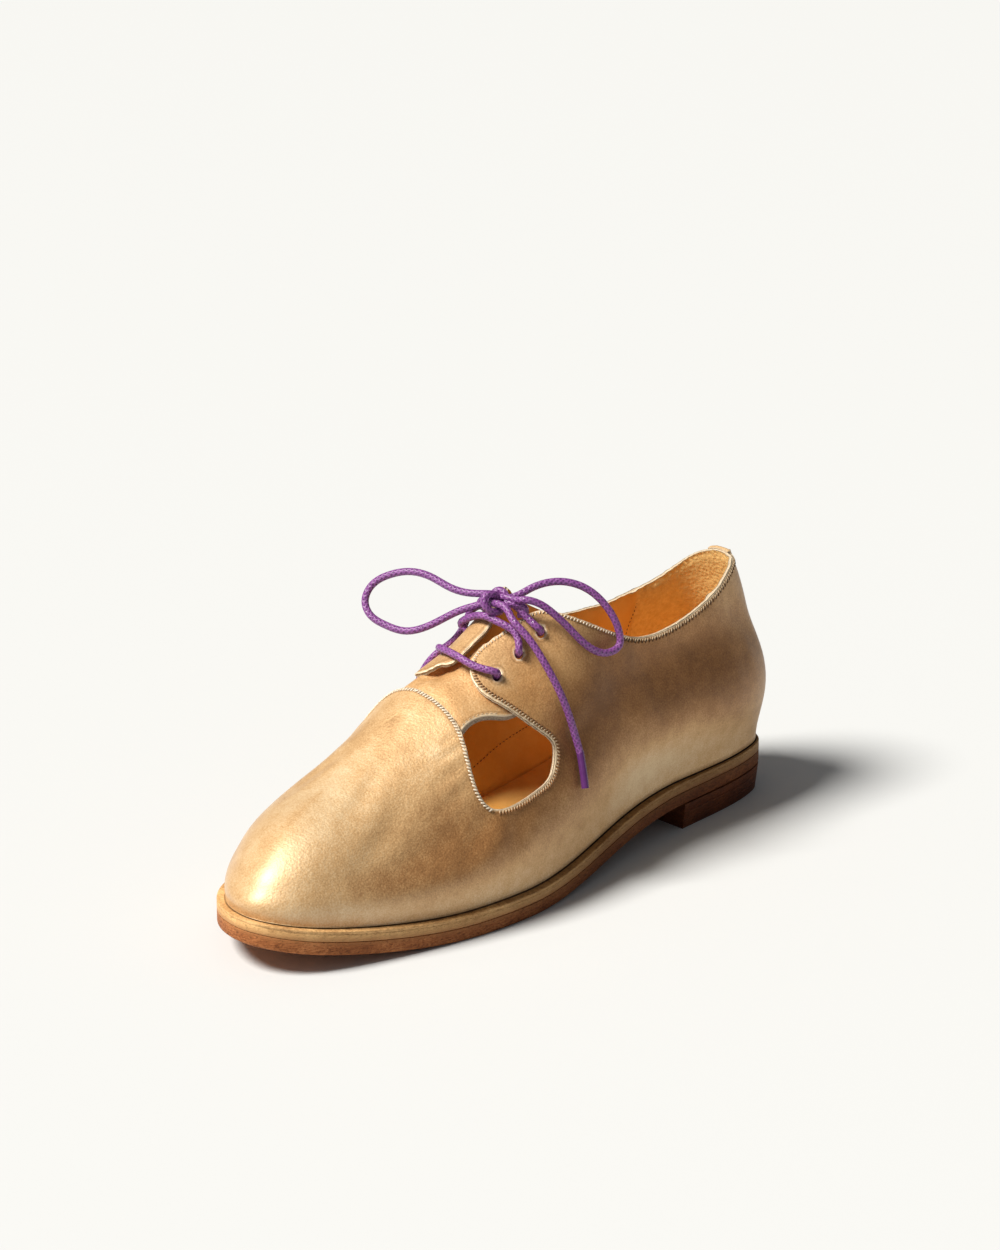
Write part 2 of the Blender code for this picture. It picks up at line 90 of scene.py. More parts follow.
ridgeNames = ("share", "height", "shift", "fullOuter", "fullInner", "bulge")
ridgeRows = (
    (0.00, 0.1250, 0.0000, 0.035, 0.035, 0.0046),
    (0.15, 0.1250, 0.0000, 0.055, 0.055, 0.0060),
    (0.30, 0.1210, 0.0020, 0.055, 0.055, 0.0044),
    (0.42, 0.1100, 0.0045, 0.035, 0.035, 0.0030),
    (0.52, 0.0945, 0.0055, 0.000, 0.000, 0.0030),
    (0.62, 0.0795, 0.0055, 0.030, 0.055, 0.0030),
    (0.72, 0.0640, 0.0040, 0.015, 0.010, 0.0030),
    (0.82, 0.0530, 0.0025, 0.025, 0.025, 0.0025),
    (0.90, 0.0480, 0.0010, 0.045, 0.050, 0.0010),
    (1.00, 0.0365, 0.0000, 0.050, 0.050, 0.0010),
)


def spline(places, values):
    places = np.asarray(places, float)
    values = np.asarray(values, float)
    count = len(places)
    step = np.diff(places)
    rows = np.zeros((count, count))
    right = np.zeros((count,) + values.shape[1:])
    rows[0, 0] = 1.0
    rows[-1, -1] = 1.0
    slope = np.diff(values, axis=0) / step.reshape((-1,) + (1,) * (values.ndim - 1))
    for i in range(1, count - 1):
        rows[i, i - 1:i + 2] = step[i - 1], 2.0 * (step[i - 1] + step[i]), step[i]
        right[i] = 3.0 * (slope[i] - slope[i - 1])
    bend = np.linalg.solve(rows, right)

    def curve(where):
        where = np.asarray(where, float)
        i = np.clip(np.searchsorted(places, where) - 1, 0, count - 2)
        shape = where.shape + (1,) * (values.ndim - 1)
        t = (where - places[i]).reshape(shape)
        h = step[i].reshape(shape)
        first = slope[i] - h * (2.0 * bend[i] + bend[i + 1]) / 3.0
        third = (bend[i + 1] - bend[i]) / (3.0 * h)
        return values[i] + first * t + bend[i] * t ** 2 + third * t ** 3

    return curve


def walk(points):
    return np.concatenate(([0.0], np.cumsum(np.linalg.norm(np.diff(points, axis=0), axis=1))))


def unit(vectors):
    return vectors / np.linalg.norm(vectors, axis=-1, keepdims=True)


def route(points, step):
    points = np.asarray(points, float)
    length = walk(points)
    curve = spline(length, points)
    fine = curve(np.linspace(0.0, length[-1], 40 * len(points)))
    walked = walk(fine)
    count = max(3, int(round(walked[-1] / step)) + 1)
    even = np.linspace(0.0, walked[-1], count)
    return np.stack([np.interp(even, walked, fine[:, k]) for k in range(points.shape[1])], -1)


def ease(share):
    share = np.clip(share, 0.0, 1.0)
    return share * share * (3.0 - 2.0 * share)


def above(value, start, span):
    return ease((value - start) / span)


def below(value, start, span):
    return ease((start - value) / span)


outlineTable = np.array(outline)
outlineTurn = np.arccos(1.0 - 2.0 * outlineTable[:, 0]) / np.pi
halfWidth = {1: spline(outlineTurn, outlineTable[:, 1]), -1: spline(outlineTurn, outlineTable[:, 2])}
ridgeTable = np.array(ridgeRows)
ridge = {name: spline(ridgeTable[:, 0], ridgeTable[:, i]) for i, name in enumerate(ridgeNames) if i}


def station(turn):
    return last["soleLength"] * (1.0 - np.cos(np.pi * turn)) / 2.0


def soleBottom(along):
    share = along / last["soleLength"]
    waist = (share - last["seatEnd"]) / (last["treadStart"] - last["seatEnd"])
    toe = np.clip((share - last["treadEnd"]) / (1.0 - last["treadEnd"]), 0.0, 1.0)
    return last["heelHeight"] * (1.0 - ease(waist)) + last["toeSpring"] * toe ** last["springPower"]


def soleTop(along):
    return soleBottom(along) + last["outsoleThickness"] + last["midsoleThickness"]


def weltEdge(turn, side):
    along = station(turn)
    start = last["swingStart"]
    swing = last["toeSwing"] * np.clip((along / last["soleLength"] - start) / (1.0 - start), 0.0, 1.0) ** 2
    return side * halfWidth[side](turn) + swing, along


def insetEdge(turn, side, inset):
    turn = np.asarray(turn, float)
    near = 0.0004
    across, along = weltEdge(turn, side)
    across0, along0 = weltEdge(np.clip(turn - near, 0.0, 1.0), side)
    across1, along1 = weltEdge(np.clip(turn + near, 0.0, 1.0), side)
    length = np.hypot(across1 - across0, along1 - along0)
    heel = turn <= near
    toe = turn >= 1.0 - near
    outAcross = np.where(heel | toe, 0.0, side * (along1 - along0) / length)
    outAlong = np.where(heel, -1.0, np.where(toe, 1.0, -side * (across1 - across0) / length))
    return across - outAcross * inset, along - outAlong * inset, outAcross, outAlong


def weltWidth(turn):
    grow = last["weltAtForefoot"] - last["weltAtHeel"]
    return last["weltAtHeel"] + grow * above(turn, last["weltGrowStart"], last["weltGrowSpan"])


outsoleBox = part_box("outsole")
widest = max(weltEdge(np.linspace(0.0, 1.0, 400), 1)[0])
shift = np.array([outsoleBox[1][0] - widest, outsoleBox[0][1] + last["soleLength"] / 2.0, 0.0])


def flank(turn, rise, side):
    edgeAcross, edgeAlong, outAcross, outAlong = insetEdge(turn, side, weltWidth(turn))
    share = station(turn) / last["soleLength"]
    ridgeAlong = last["ridgeStart"] + (last["ridgeEnd"] - last["ridgeStart"]) * share
    ridgeAcross = -ridge["shift"](ridgeAlong / last["soleLength"])
    full = ridge["fullOuter" if side > 0 else "fullInner"](share) * np.sin(np.pi * rise) ** 2
    reach = np.cos(np.pi / 2.0 * rise) + full
    lift = np.sin(np.pi / 2.0 * rise) + full
    swell = np.where(rise < last["bulgeTop"], np.sin(np.pi * rise / last["bulgeTop"]) ** 2, 0.0)
    swell = swell * ridge["bulge"](share)
    along = ridgeAlong + (edgeAlong - ridgeAlong) * reach + outAlong * swell
    across = ridgeAcross + (edgeAcross - ridgeAcross) * reach + outAcross * swell
    base = soleTop(along) + last["wallGap"]
    height = base + (ridge["height"](along / last["soleLength"]) - base) * lift
    return np.stack([across, last["soleLength"] / 2.0 - along, height], axis=-1) + shift


def lastPoint(turn, drop):
    turn = np.asarray(turn, float)
    drop = np.asarray(drop, float)
    rise = 1.0 - np.abs(drop)
    return np.where((drop >= 0.0)[..., None], flank(turn, rise, 1), flank(turn, rise, -1))


def spans(turn, drop):
    near = 0.002
    turn = np.clip(np.asarray(turn, float), near, 1.0 - near)
    drop = np.clip(np.asarray(drop, float), near - 1.0, 1.0 - near)
    forward = (lastPoint(turn + near, drop) - lastPoint(turn - near, drop)) / (2.0 * near)
    down = (lastPoint(turn, drop + near) - lastPoint(turn, drop - near)) / (2.0 * near)
    return forward, down


def lastNormal(turn, drop):
    return unit(np.cross(*spans(turn, drop)))


def skin(turn, drop, depth):
    depth = np.broadcast_to(depth, np.shape(turn))
    return lastPoint(turn, drop) - depth[..., None] * lastNormal(turn, drop)


def insetPath(path, distance):
    forward, down = spans(*path.T)
    normal = unit(np.cross(forward, down))
    tangent = unit(np.gradient(lastPoint(*path.T), axis=0))
    inward = np.cross(normal, tangent) * distance
    a = (forward * forward).sum(-1)
    b = (forward * down).sum(-1)
    c = (down * down).sum(-1)
    p = (forward * inward).sum(-1)
    q = (down * inward).sum(-1)
    det = a * c - b * b
    moved = path + np.stack([(c * p - b * q) / det, (a * q - b * p) / det], -1)
    moved[:, 0] = np.clip(moved[:, 0], 0.0, 1.0)
    return moved


def addObject(name, data):
    made = bpy.data.objects.new(name, data)
    bpy.context.scene.collection.objects.link(made)
    return made


# Camera, at the photograph's angle, with its focal length and frame height in the photograph's pixels
cameraSet = {"turn": 45.8, "lift": 21.0, "distance": 1.8125, "focal": 4818.3, "height": 1250.0,
             "sensor": 36.0, "clipEnd": 50.0, "aimRight": 0.00256, "aimUp": 0.0618, "aimZ": 0.030}


def makeCamera():
    turn, lift = np.radians(cameraSet["turn"]), np.radians(cameraSet["lift"])
    back = np.array([np.sin(turn) * np.cos(lift), -np.cos(turn) * np.cos(lift), np.sin(lift)])
    right = np.array([np.cos(turn), np.sin(turn), 0.0])
    up = np.cross(back, right)
    place = shift + (0.0, 0.0, cameraSet["aimZ"]) + right * cameraSet["aimRight"]
    place = place + up * cameraSet["aimUp"] + back * cameraSet["distance"]
    data = bpy.data.cameras.new("camera")
    data.sensor_fit = "VERTICAL"
    data.sensor_height = cameraSet["sensor"]
    data.lens = cameraSet["focal"] * cameraSet["sensor"] / cameraSet["height"]
    data.clip_end = cameraSet["clipEnd"]
    camera = addObject("camera", data)
    matrix = Matrix.Identity(4)
    for i in range(3):
        matrix[i][0], matrix[i][1], matrix[i][2], matrix[i][3] = right[i], up[i], back[i], place[i]
    camera.matrix_world = matrix
    bpy.context.scene.camera = camera
    return right, up, back


viewRight, viewUp, viewBack = makeCamera()
print("camera placed")


# Materials
def material(name):
    made = bpy.data.materials.new(name)
    made.use_nodes = True
    return made, made.node_tree, made.node_tree.nodes["Principled BSDF"]


def node(tree, kind, values=None, **settings):
    made = tree.nodes.new(kind)
    for key, value in settings.items():
        setattr(made, key, value)
    for key, value in (values or {}).items():
        if isinstance(value, bpy.types.NodeSocket):
            tree.links.new(value, made.inputs[key])
        else:
            made.inputs[key].default_value = value
    return made


def objectPlace(tree, stretch=(1.0, 1.0, 1.0)):
    coords = node(tree, "ShaderNodeTexCoord")
    return node(tree, "ShaderNodeMapping", {"Vector": coords.outputs["Object"], "Scale": stretch}).outputs[0]


def noise(tree, where, scale, detail=3.0, rough=0.5):
    values = {"Vector": where, "Scale": scale, "Detail": detail, "Roughness": rough}
    return node(tree, "ShaderNodeTexNoise", values).outputs["Fac"]


def pebbles(tree, where, scale):
    return node(tree, "ShaderNodeTexVoronoi", {"Vector": where, "Scale": scale}).outputs["Distance"]


def ramp(tree, fac, stops):
    made = node(tree, "ShaderNodeValToRGB", {"Fac": fac})
    while len(made.color_ramp.elements) < len(stops):
        made.color_ramp.elements.new(0.5)
    for element, (place, colour) in zip(made.color_ramp.elements, stops):
        element.position = place
        element.color = (*colour, 1.0)
    return made.outputs["Color"]


def maths(tree, operation, a, b=0.0, clamp=False):
    made = node(tree, "ShaderNodeMath", {0: a, 1: b}, operation=operation)
    made.use_clamp = clamp
    return made.outputs[0]


def mixed(tree, fac, a, b, blend="MIX"):
    made = node(tree, "ShaderNodeMix", data_type="RGBA", blend_type=blend)
    for i, value in ((0, fac), (6, a), (7, b)):
        if isinstance(value, bpy.types.NodeSocket):
            tree.links.new(value, made.inputs[i])
        else:
            made.inputs[i].default_value = value if i == 0 else (*value, 1.0)
    return made.outputs[2]


def attribute(tree, name):
    return node(tree, "ShaderNodeAttribute", attribute_name=name).outputs["Fac"]


def spread(tree, value, low, high, newLow, newHigh):
    values = {"Value": value, 1: low, 2: high, 3: newLow, 4: newHigh}
    return node(tree, "ShaderNodeMapRange", values).outputs[0]


def vary(tree, tone, source, low, high):
    return maths(tree, "ADD", tone, spread(tree, source, 0.3, 0.7, low, high))


def bump(tree, height, strength, distance, under=None):
    values = {"Height": height, "Strength": strength, "Distance": distance}
    if under is not None:
        values["Normal"] = under
    return node(tree, "ShaderNodeBump", values).outputs[0]


def connect(tree, shader, **sockets):
    names = {"colour": "Base Color", "rough": "Roughness", "metal": "Metallic", "normal": "Normal",
             "specular": "Specular IOR Level", "coat": "Coat Weight", "coatRough": "Coat Roughness",
             "coatBend": "Coat IOR"}
    for key, value in sockets.items():
        if isinstance(value, bpy.types.NodeSocket):
            tree.links.new(value, shader.inputs[names[key]])
        elif key == "colour":
            shader.inputs[names[key]].default_value = (*value, 1.0)
        else:
            shader.inputs[names[key]].default_value = value


leather = {
    "shade": (0.215, 0.105, 0.040),
    "brown": (0.385, 0.203, 0.082),
    "tan": (0.63, 0.392, 0.184),
    "pearl": (0.82, 0.63, 0.39),
    "worn": (0.80, 0.65, 0.45),
    "warm": (1.0, 0.83, 0.64),
    "groove": 0.0017,
    "stops": ((0.0, "shade"), (0.30, "brown"), (0.62, "tan"), (1.0, "pearl")),
    "patches": 30.0,
    "patchTone": (0.25, 0.75, 0.42, 0.68),
    "smallTone": 0.09,
    "speckle": 1600.0,
    "speckleTone": 0.13,
    "grain": 1100.0,
    "lines": 520.0,
    "fray": 700.0,
    "frayReach": 0.0004,
    "wornFade": (0.0003, 0.0010, 0.9, 0.0),
    "grooveFade": (0.0001, 0.0006, 0.75, 0.0),
    "grainBump": (0.36, 0.00022),
    "lineBump": (0.50, 0.00035),
    "speckleBump": (0.20, 0.0001),
    "metallic": 0.20,
    "roughness": (0.41, 0.57),
    "coat": 0.35,
    "toeCoat": 0.95,
    "polishEnds": (-0.090, -0.035),
    "coatRoughness": 0.36,
    "coatBend": 1.40,
    "specular": 0.15,
}


def leatherMaterial(name, tint=0.0):
    made, tree, shader = material(name)
    where = objectPlace(tree)
    large = noise(tree, where, leather["patches"], 4.0, 0.55)
    small = noise(tree, where, leather["patches"] * 5.0, 5.0, 0.6)
    speckle = noise(tree, where, leather["speckle"], 2.0, 0.6)
    # tone patches from the mesh, partly painted light and shade
    toneAndPaintedLight = attribute(tree, "toneAndPaintedLight")
    tone = maths(tree, "ADD", spread(tree, large, *leather["patchTone"]), toneAndPaintedLight)
    tone = vary(tree, tone, small, -leather["smallTone"], leather["smallTone"])
    tone = vary(tree, tone, speckle, -leather["speckleTone"], leather["speckleTone"])
    tone = maths(tree, "ADD", tone, tint, True)
    colour = ramp(tree, tone, [(place, leather[key]) for place, key in leather["stops"]])
    colour = mixed(tree, attribute(tree, "warmth"), colour, leather["warm"], "MULTIPLY")
    edge = attribute(tree, "edgeDistance")
    frayed = noise(tree, where, leather["fray"], 3.0, 0.7)
    ragged = vary(tree, edge, frayed, -leather["frayReach"], leather["frayReach"])
    colour = mixed(tree, spread(tree, ragged, *leather["wornFade"]), colour, leather["worn"])
    # a darker line along the stitch groove, partly the pressed leather's colour and partly painted shade in
    # the groove
    across = maths(tree, "ABSOLUTE", maths(tree, "SUBTRACT", edge, leather["groove"]), 0.0)
    pressedAndShaded = maths(tree, "MULTIPLY", spread(tree, across, *leather["grooveFade"]), frayed)
    colour = mixed(tree, pressedAndShaded, colour, leather["shade"])
    cells = pebbles(tree, where, leather["grain"])
    lines = noise(tree, where, leather["lines"], 4.0, 0.6)
    grain = bump(tree, cells, *leather["grainBump"])
    grain = bump(tree, lines, *leather["lineBump"], grain)
    grain = bump(tree, speckle, *leather["speckleBump"], grain)
    rough = spread(tree, speckle, 0.3, 0.7, *leather["roughness"])
    along = node(tree, "ShaderNodeSeparateXYZ", {0: where}).outputs["Y"]
    polish = spread(tree, along, *leather["polishEnds"], leather["toeCoat"], leather["coat"])
    connect(tree, shader, colour=colour, rough=rough, normal=grain, metal=leather["metallic"],
            specular=leather["specular"], coat=polish, coatRough=leather["coatRoughness"],
            coatBend=leather["coatBend"])
    return made


def rawEdgeMaterial(name, pale, dark):
    made, tree, shader = material(name)
    where = objectPlace(tree)
    fibres = noise(tree, where, 1500.0, 4.0, 0.7)
    colour = ramp(tree, fibres, ((0.25, dark), (0.6, pale)))
    connect(tree, shader, colour=colour, rough=0.85, normal=bump(tree, fibres, 0.5, 0.0003), specular=0.2)
    return made


lining = {"pale": (0.88, 0.52, 0.16), "deep": (0.74, 0.345, 0.055), "pit": (0.60, 0.30, 0.075),
          "suede": (0.95, 0.69, 0.29), "paintedShade": (0.075, 0.028, 0.009), "soft": 60.0, "pores": 1300.0,
          "clumps": 420.0, "dots": 700.0, "suedeMix": 0.6, "pitMix": 0.5, "suedeBump": (0.5, 0.0006),
          "poreBump": (0.15, 0.0002), "roughness": 0.62}


def liningMaterial(name, suede):
    made, tree, shader = material(name)
    where = objectPlace(tree)
    soft = noise(tree, where, lining["soft"], 4.0, 0.6)
    pores = noise(tree, where, lining["pores"], 3.0, 0.7)
    tone = spread(tree, soft, 0.3, 0.7, 0.25, 0.85)
    tone = vary(tree, tone, pores, -0.12, 0.12)
    colour = ramp(tree, tone, ((0.0, lining["deep"]), (1.0, lining["pale"])))
    normal = bump(tree, pores, *lining["poreBump"])
    if suede:
        counter = attribute(tree, "counter")
        clumps = noise(tree, where, lining["clumps"], 5.0, 0.75)
        dots = pebbles(tree, where, lining["dots"])
        pitted = maths(tree, "MULTIPLY", spread(tree, clumps, 0.35, 0.62, 0.0, 1.0), counter)
        colour = mixed(tree, maths(tree, "MULTIPLY", counter, lining["suedeMix"]), colour, lining["suede"])
        colour = mixed(tree, maths(tree, "MULTIPLY", pitted, lining["pitMix"]), colour, lining["pit"])
        # painted shade: darkens the lining under both facings
        colour = mixed(tree, attribute(tree, "toneAndPaintedLight"), colour, lining["paintedShade"])
        rough = maths(tree, "MULTIPLY", maths(tree, "ADD", clumps, dots), counter)
        normal = bump(tree, rough, *lining["suedeBump"], normal)
    connect(tree, shader, colour=colour, rough=lining["roughness"], normal=normal)
    return made


soleLook = {"fade": (-0.115, 0.02, 0.0, 1.0), "fibres": 260.0, "fine": 900.0, "blotch": 70.0,
            "scratches": (0.54, 0.66), "fineBump": (0.45, 0.0003), "fibreBump": (0.25, 0.0003),
            "specular": 0.12}  # the fade runs from the toe's place to the heel's and paints shade, darker towards the heel


def soleMaterial(name, pale, mid, dark, scratch, rough, paintedHeelShade, stain=None, stainSpan=(0.0, 1.0, 0.0, 0.0)):
    made, tree, shader = material(name)
    place = node(tree, "ShaderNodeSeparateXYZ", {0: objectPlace(tree)}).outputs["Y"]
    where = objectPlace(tree, (1.0, 1.0, 9.0))
    fibres = noise(tree, where, soleLook["fibres"], 5.0, 0.7)
    fine = noise(tree, objectPlace(tree, (1.0, 1.0, 1.6)), soleLook["fine"], 4.0, 0.75)
    blotch = noise(tree, objectPlace(tree), soleLook["blotch"], 4.0, 0.6)
    tone = spread(tree, fibres, 0.3, 0.7, 0.2, 0.8)
    tone = vary(tree, tone, blotch, -0.25, 0.25)
    tone = vary(tree, tone, fine, 0.28, -0.28)
    colour = ramp(tree, tone, ((0.0, dark), (0.5, mid), (1.0, pale)))
    if stain:
        height = vary(tree, attribute(tree, "layerHeight"), fine, -0.12, 0.12)
        colour = mixed(tree, spread(tree, height, *stainSpan), colour, stain)
    scratches = spread(tree, fine, *soleLook["scratches"], 0.0, scratch)
    colour = mixed(tree, scratches, colour, tuple(0.5 * c for c in dark))
    # painted shade: the sole edges darken towards the heel
    colour = mixed(tree, spread(tree, place, *soleLook["fade"]), colour, paintedHeelShade, "MULTIPLY")
    normal = bump(tree, fine, *soleLook["fineBump"], bump(tree, fibres, *soleLook["fibreBump"]))
    connect(tree, shader, colour=colour, rough=rough, normal=normal, specular=soleLook["specular"])
    return made


def threadMaterial(name, pale, dark):
    made, tree, shader = material(name)
    twist = noise(tree, objectPlace(tree), 2200.0, 2.0, 0.5)
    connect(tree, shader, colour=ramp(tree, twist, ((0.3, dark), (0.65, pale))), rough=0.7)
    return made


lace = {"radius": 0.0014, "pale": (0.42, 0.145, 0.46), "mid": (0.215, 0.058, 0.255),
        "dark": (0.082, 0.021, 0.108), "glint": (0.86, 0.74, 0.88), "plaits": 5.0, "pitch": 0.0021,
        "wax": 900.0, "paintedGlints": 2600.0, "weaveBump": (0.55, 0.0002), "roughness": (0.28, 0.55),
        "coat": 0.15, "coatRoughness": 0.25}


def laceMaterial(name):
    made, tree, shader = material(name)
    uv = node(tree, "ShaderNodeUVMap", uv_map="cordMap").outputs[0]
    parts = node(tree, "ShaderNodeSeparateXYZ", {0: uv})
    around = maths(tree, "MULTIPLY", parts.outputs[0], 2.0 * np.pi * lace["plaits"])
    along = maths(tree, "MULTIPLY", parts.outputs[1], 2.0 * np.pi / lace["pitch"])
    one = maths(tree, "SINE", maths(tree, "ADD", around, along))
    two = maths(tree, "SINE", maths(tree, "SUBTRACT", around, along))
    weave = maths(tree, "MAXIMUM", one, two)
    where = objectPlace(tree)
    wax = noise(tree, where, lace["wax"], 3.0, 0.6)
    paintedGlints = noise(tree, where, lace["paintedGlints"], 2.0, 0.6)
    # the braid's crowns come out paler and its grooves darker: painted light and shade on the plaits
    tone = spread(tree, weave, -0.5, 1.0, 0.22, 0.62)
    tone = vary(tree, tone, wax, -0.2, 0.25)
    colour = ramp(tree, tone, ((0.0, lace["dark"]), (0.5, lace["mid"]), (1.0, lace["pale"])))
    # pale specks on the cord: painted highlights
    colour = mixed(tree, spread(tree, paintedGlints, 0.66, 0.76, 0.0, 0.7), colour, lace["glint"])
    connect(tree, shader, colour=colour, rough=spread(tree, wax, 0.35, 0.7, *lace["roughness"]),
            normal=bump(tree, weave, *lace["weaveBump"]), coat=lace["coat"], coatRough=lace["coatRoughness"])
    return made


tip = {"pale": (0.127, 0.032, 0.166), "dark": (0.103, 0.025, 0.134), "scuffs": 450.0,
       "roughness": (0.18, 0.28)}


def tipMaterial(name):
    made, tree, shader = material(name)
    scuffs = noise(tree, objectPlace(tree), tip["scuffs"], 3.0, 0.6)
    colour = ramp(tree, scuffs, ((0.3, tip["dark"]), (0.7, tip["pale"])))
    connect(tree, shader, colour=colour, rough=spread(tree, scuffs, 0.3, 0.7, *tip["roughness"]))
    return made


upperLeather = leatherMaterial("upper leather")
tongueLeather = leatherMaterial("tongue leather", 0.10)
stripLeather = leatherMaterial("strip leather", 0.12)
rawEdge = rawEdgeMaterial("raw edge", (0.80, 0.66, 0.47), (0.45, 0.31, 0.19))
# darker copy of the raw edge: painted shade on the far facing's cut edge
paintedShadeEdge = rawEdgeMaterial("painted shade edge", (0.50, 0.37, 0.24), (0.20, 0.13, 0.075))
tongueEdge = rawEdgeMaterial("tongue edge", (0.42, 0.33, 0.24), (0.13, 0.085, 0.055))
upperLining = liningMaterial("upper lining", True)
boardLeather = liningMaterial("insole leather", False)
weltLeather = soleMaterial("welt leather", (0.92, 0.585, 0.265), (0.66, 0.385, 0.160), (0.38, 0.190, 0.075),
                           0.35, 0.5, (0.46, 0.42, 0.38), (0.44, 0.19, 0.070), (0.52, 0.78, 0.85, 0.0))
soleLeather = soleMaterial("sole leather", (0.60, 0.245, 0.092), (0.37, 0.128, 0.042), (0.150, 0.045, 0.014),
                           0.70, 0.6, (0.36, 0.32, 0.28), (0.44, 0.19, 0.070), (0.34, 0.56, 0.0, 0.8))
heelLeather = soleMaterial("heel leather", (0.170, 0.050, 0.016), (0.098, 0.025, 0.007),
                           (0.045, 0.011, 0.004), 0.5, 0.5, (1.0, 1.0, 1.0))
# the welt seam goes nearly black towards the heel, painted shade in the gap under the upper
weltSeam = soleMaterial("welt seam", (0.46, 0.27, 0.115), (0.32, 0.17, 0.065), (0.15, 0.07, 0.026),
                        0.5, 0.6, (0.05, 0.045, 0.04))
needleHole = rawEdgeMaterial("needle hole", (0.14, 0.078, 0.040), (0.050, 0.027, 0.014))
paleThread = threadMaterial("pale thread", (0.92, 0.83, 0.68), (0.60, 0.46, 0.31))
tanThread = threadMaterial("tan thread", (0.74, 0.57, 0.37), (0.38, 0.26, 0.15))
brownThread = threadMaterial("brown thread", (0.36, 0.17, 0.06), (0.16, 0.07, 0.025))
laceCord = laceMaterial("lace cord")
tipPlastic = tipMaterial("lace tip")
print("materials made")


def addPiece(name, points, faces, materials, slots=None, floats=None, clean=False, sharpAngle=None):
    data = bpy.data.meshes.new(name)
    data.from_pydata([tuple(p) for p in points], [], [tuple(f) for f in faces])
    for made in materials:
        data.materials.append(made)
    if slots is not None:
        data.polygons.foreach_set("material_index", np.asarray(slots, np.int32))
    for key, values in (floats or {}).items():
        layer = data.attributes.new(key, "FLOAT", "POINT")
        layer.data.foreach_set("value", np.asarray(values, np.float32))
    mesh = bmesh.new()
    mesh.from_mesh(data)
    bmesh.ops.remove_doubles(mesh, verts=mesh.verts, dist=0.00002)
    if clean:
        bmesh.ops.dissolve_degenerate(mesh, dist=0.000005, edges=mesh.edges)
    if sharpAngle:
        bmesh.ops.recalc_face_normals(mesh, faces=mesh.faces)
    mesh.to_mesh(data)
    mesh.free()
    data.shade_smooth()
    if sharpAngle:
        data.set_sharp_from_angle(angle=sharpAngle)
    return addObject(name, data)


def settle(piece, slotName, *nodes):
    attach(piece, "root")
    if nodes:
        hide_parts(*nodes)


# Upper: cut edge, creases and tone patches, some of them painted light and shade, are placed in turn and drop
vampEdge = ((0.632, 0.0), (0.614, 0.176), (0.606, 0.33), (0.607, 0.48), (0.605, 0.584))
windowEdge = ((0.594, 0.665), (0.573, 0.701), (0.531, 0.712), (0.507, 0.698), (0.499, 0.654), (0.508, 0.583),
              (0.533, 0.459))
outerFacing = ((0.550, 0.369), (0.565, 0.262), (0.565, 0.174), (0.553, 0.125), (0.532, 0.118), (0.506, 0.145),
               (0.479, 0.182), (0.460, 0.222), (0.448, 0.285))
innerFacing = ((0.558, 0.360), (0.580, 0.230), (0.589, 0.110), (0.588, 0.030), (0.581, -0.035),
               (0.568, -0.066), (0.550, -0.070), (0.528, -0.073), (0.508, -0.068), (0.484, -0.010),
               (0.463, 0.088), (0.448, 0.210))
outerCollar = ((0.427, 0.409), (0.398, 0.525), (0.361, 0.603), (0.316, 0.626), (0.261, 0.610), (0.209, 0.581),
               (0.131, 0.530), (0.060, 0.511), (0.000, 0.517))
innerCollar = ((0.430, 0.400), (0.398, 0.545), (0.355, 0.634), (0.314, 0.660), (0.270, 0.670), (0.232, 0.660),
               (0.187, 0.643), (0.124, 0.600), (0.053, 0.544), (0.000, 0.517))
outerHoles = ((0.538, 0.272), (0.502, 0.283), (0.470, 0.303))
innerHoles = ((0.546, -0.190), (0.510, -0.200), (0.478, -0.220))
upperSet = {"gridTurns": 210, "gridDrops": 112, "edgeStep": 0.0009, "holeRadius": 0.0021, "edgeRound": 0.0005,
            "rings": (0.00014, 0.0003, 0.0005, 0.0008, 0.0011, 0.0014, 0.0019), "liningRound": 0.00025,
            "toeSeamEnd": 0.012, "collarEnd": 0.44, "stitchInset": 0.0010, "stitchSink": 0.00016,
            "stitchWidth": 0.0005, "edgeWave": 0.00009, "waveReach": 0.0012, "creaseFade": 0.002,
            "edgeRows": (0.46, 0.56), "counterThick": 0.0004, "counterEnd": (0.216, 0.006),
            "counterRim": (0.0008, 0.002), "jointLump": 0.0011, "jointTurn": 0.222,
            "jointReach": (0.007, 0.004), "backSeam": 0.00030, "backSeamReach": 0.0022,
            "backRows": (0.0010, 0.0020, 0.0032)}
sheetSet = {"ringGap": 0.00008, "gridGap": 0.0007, "straightStep": 0.0016, "holeSides": 28}
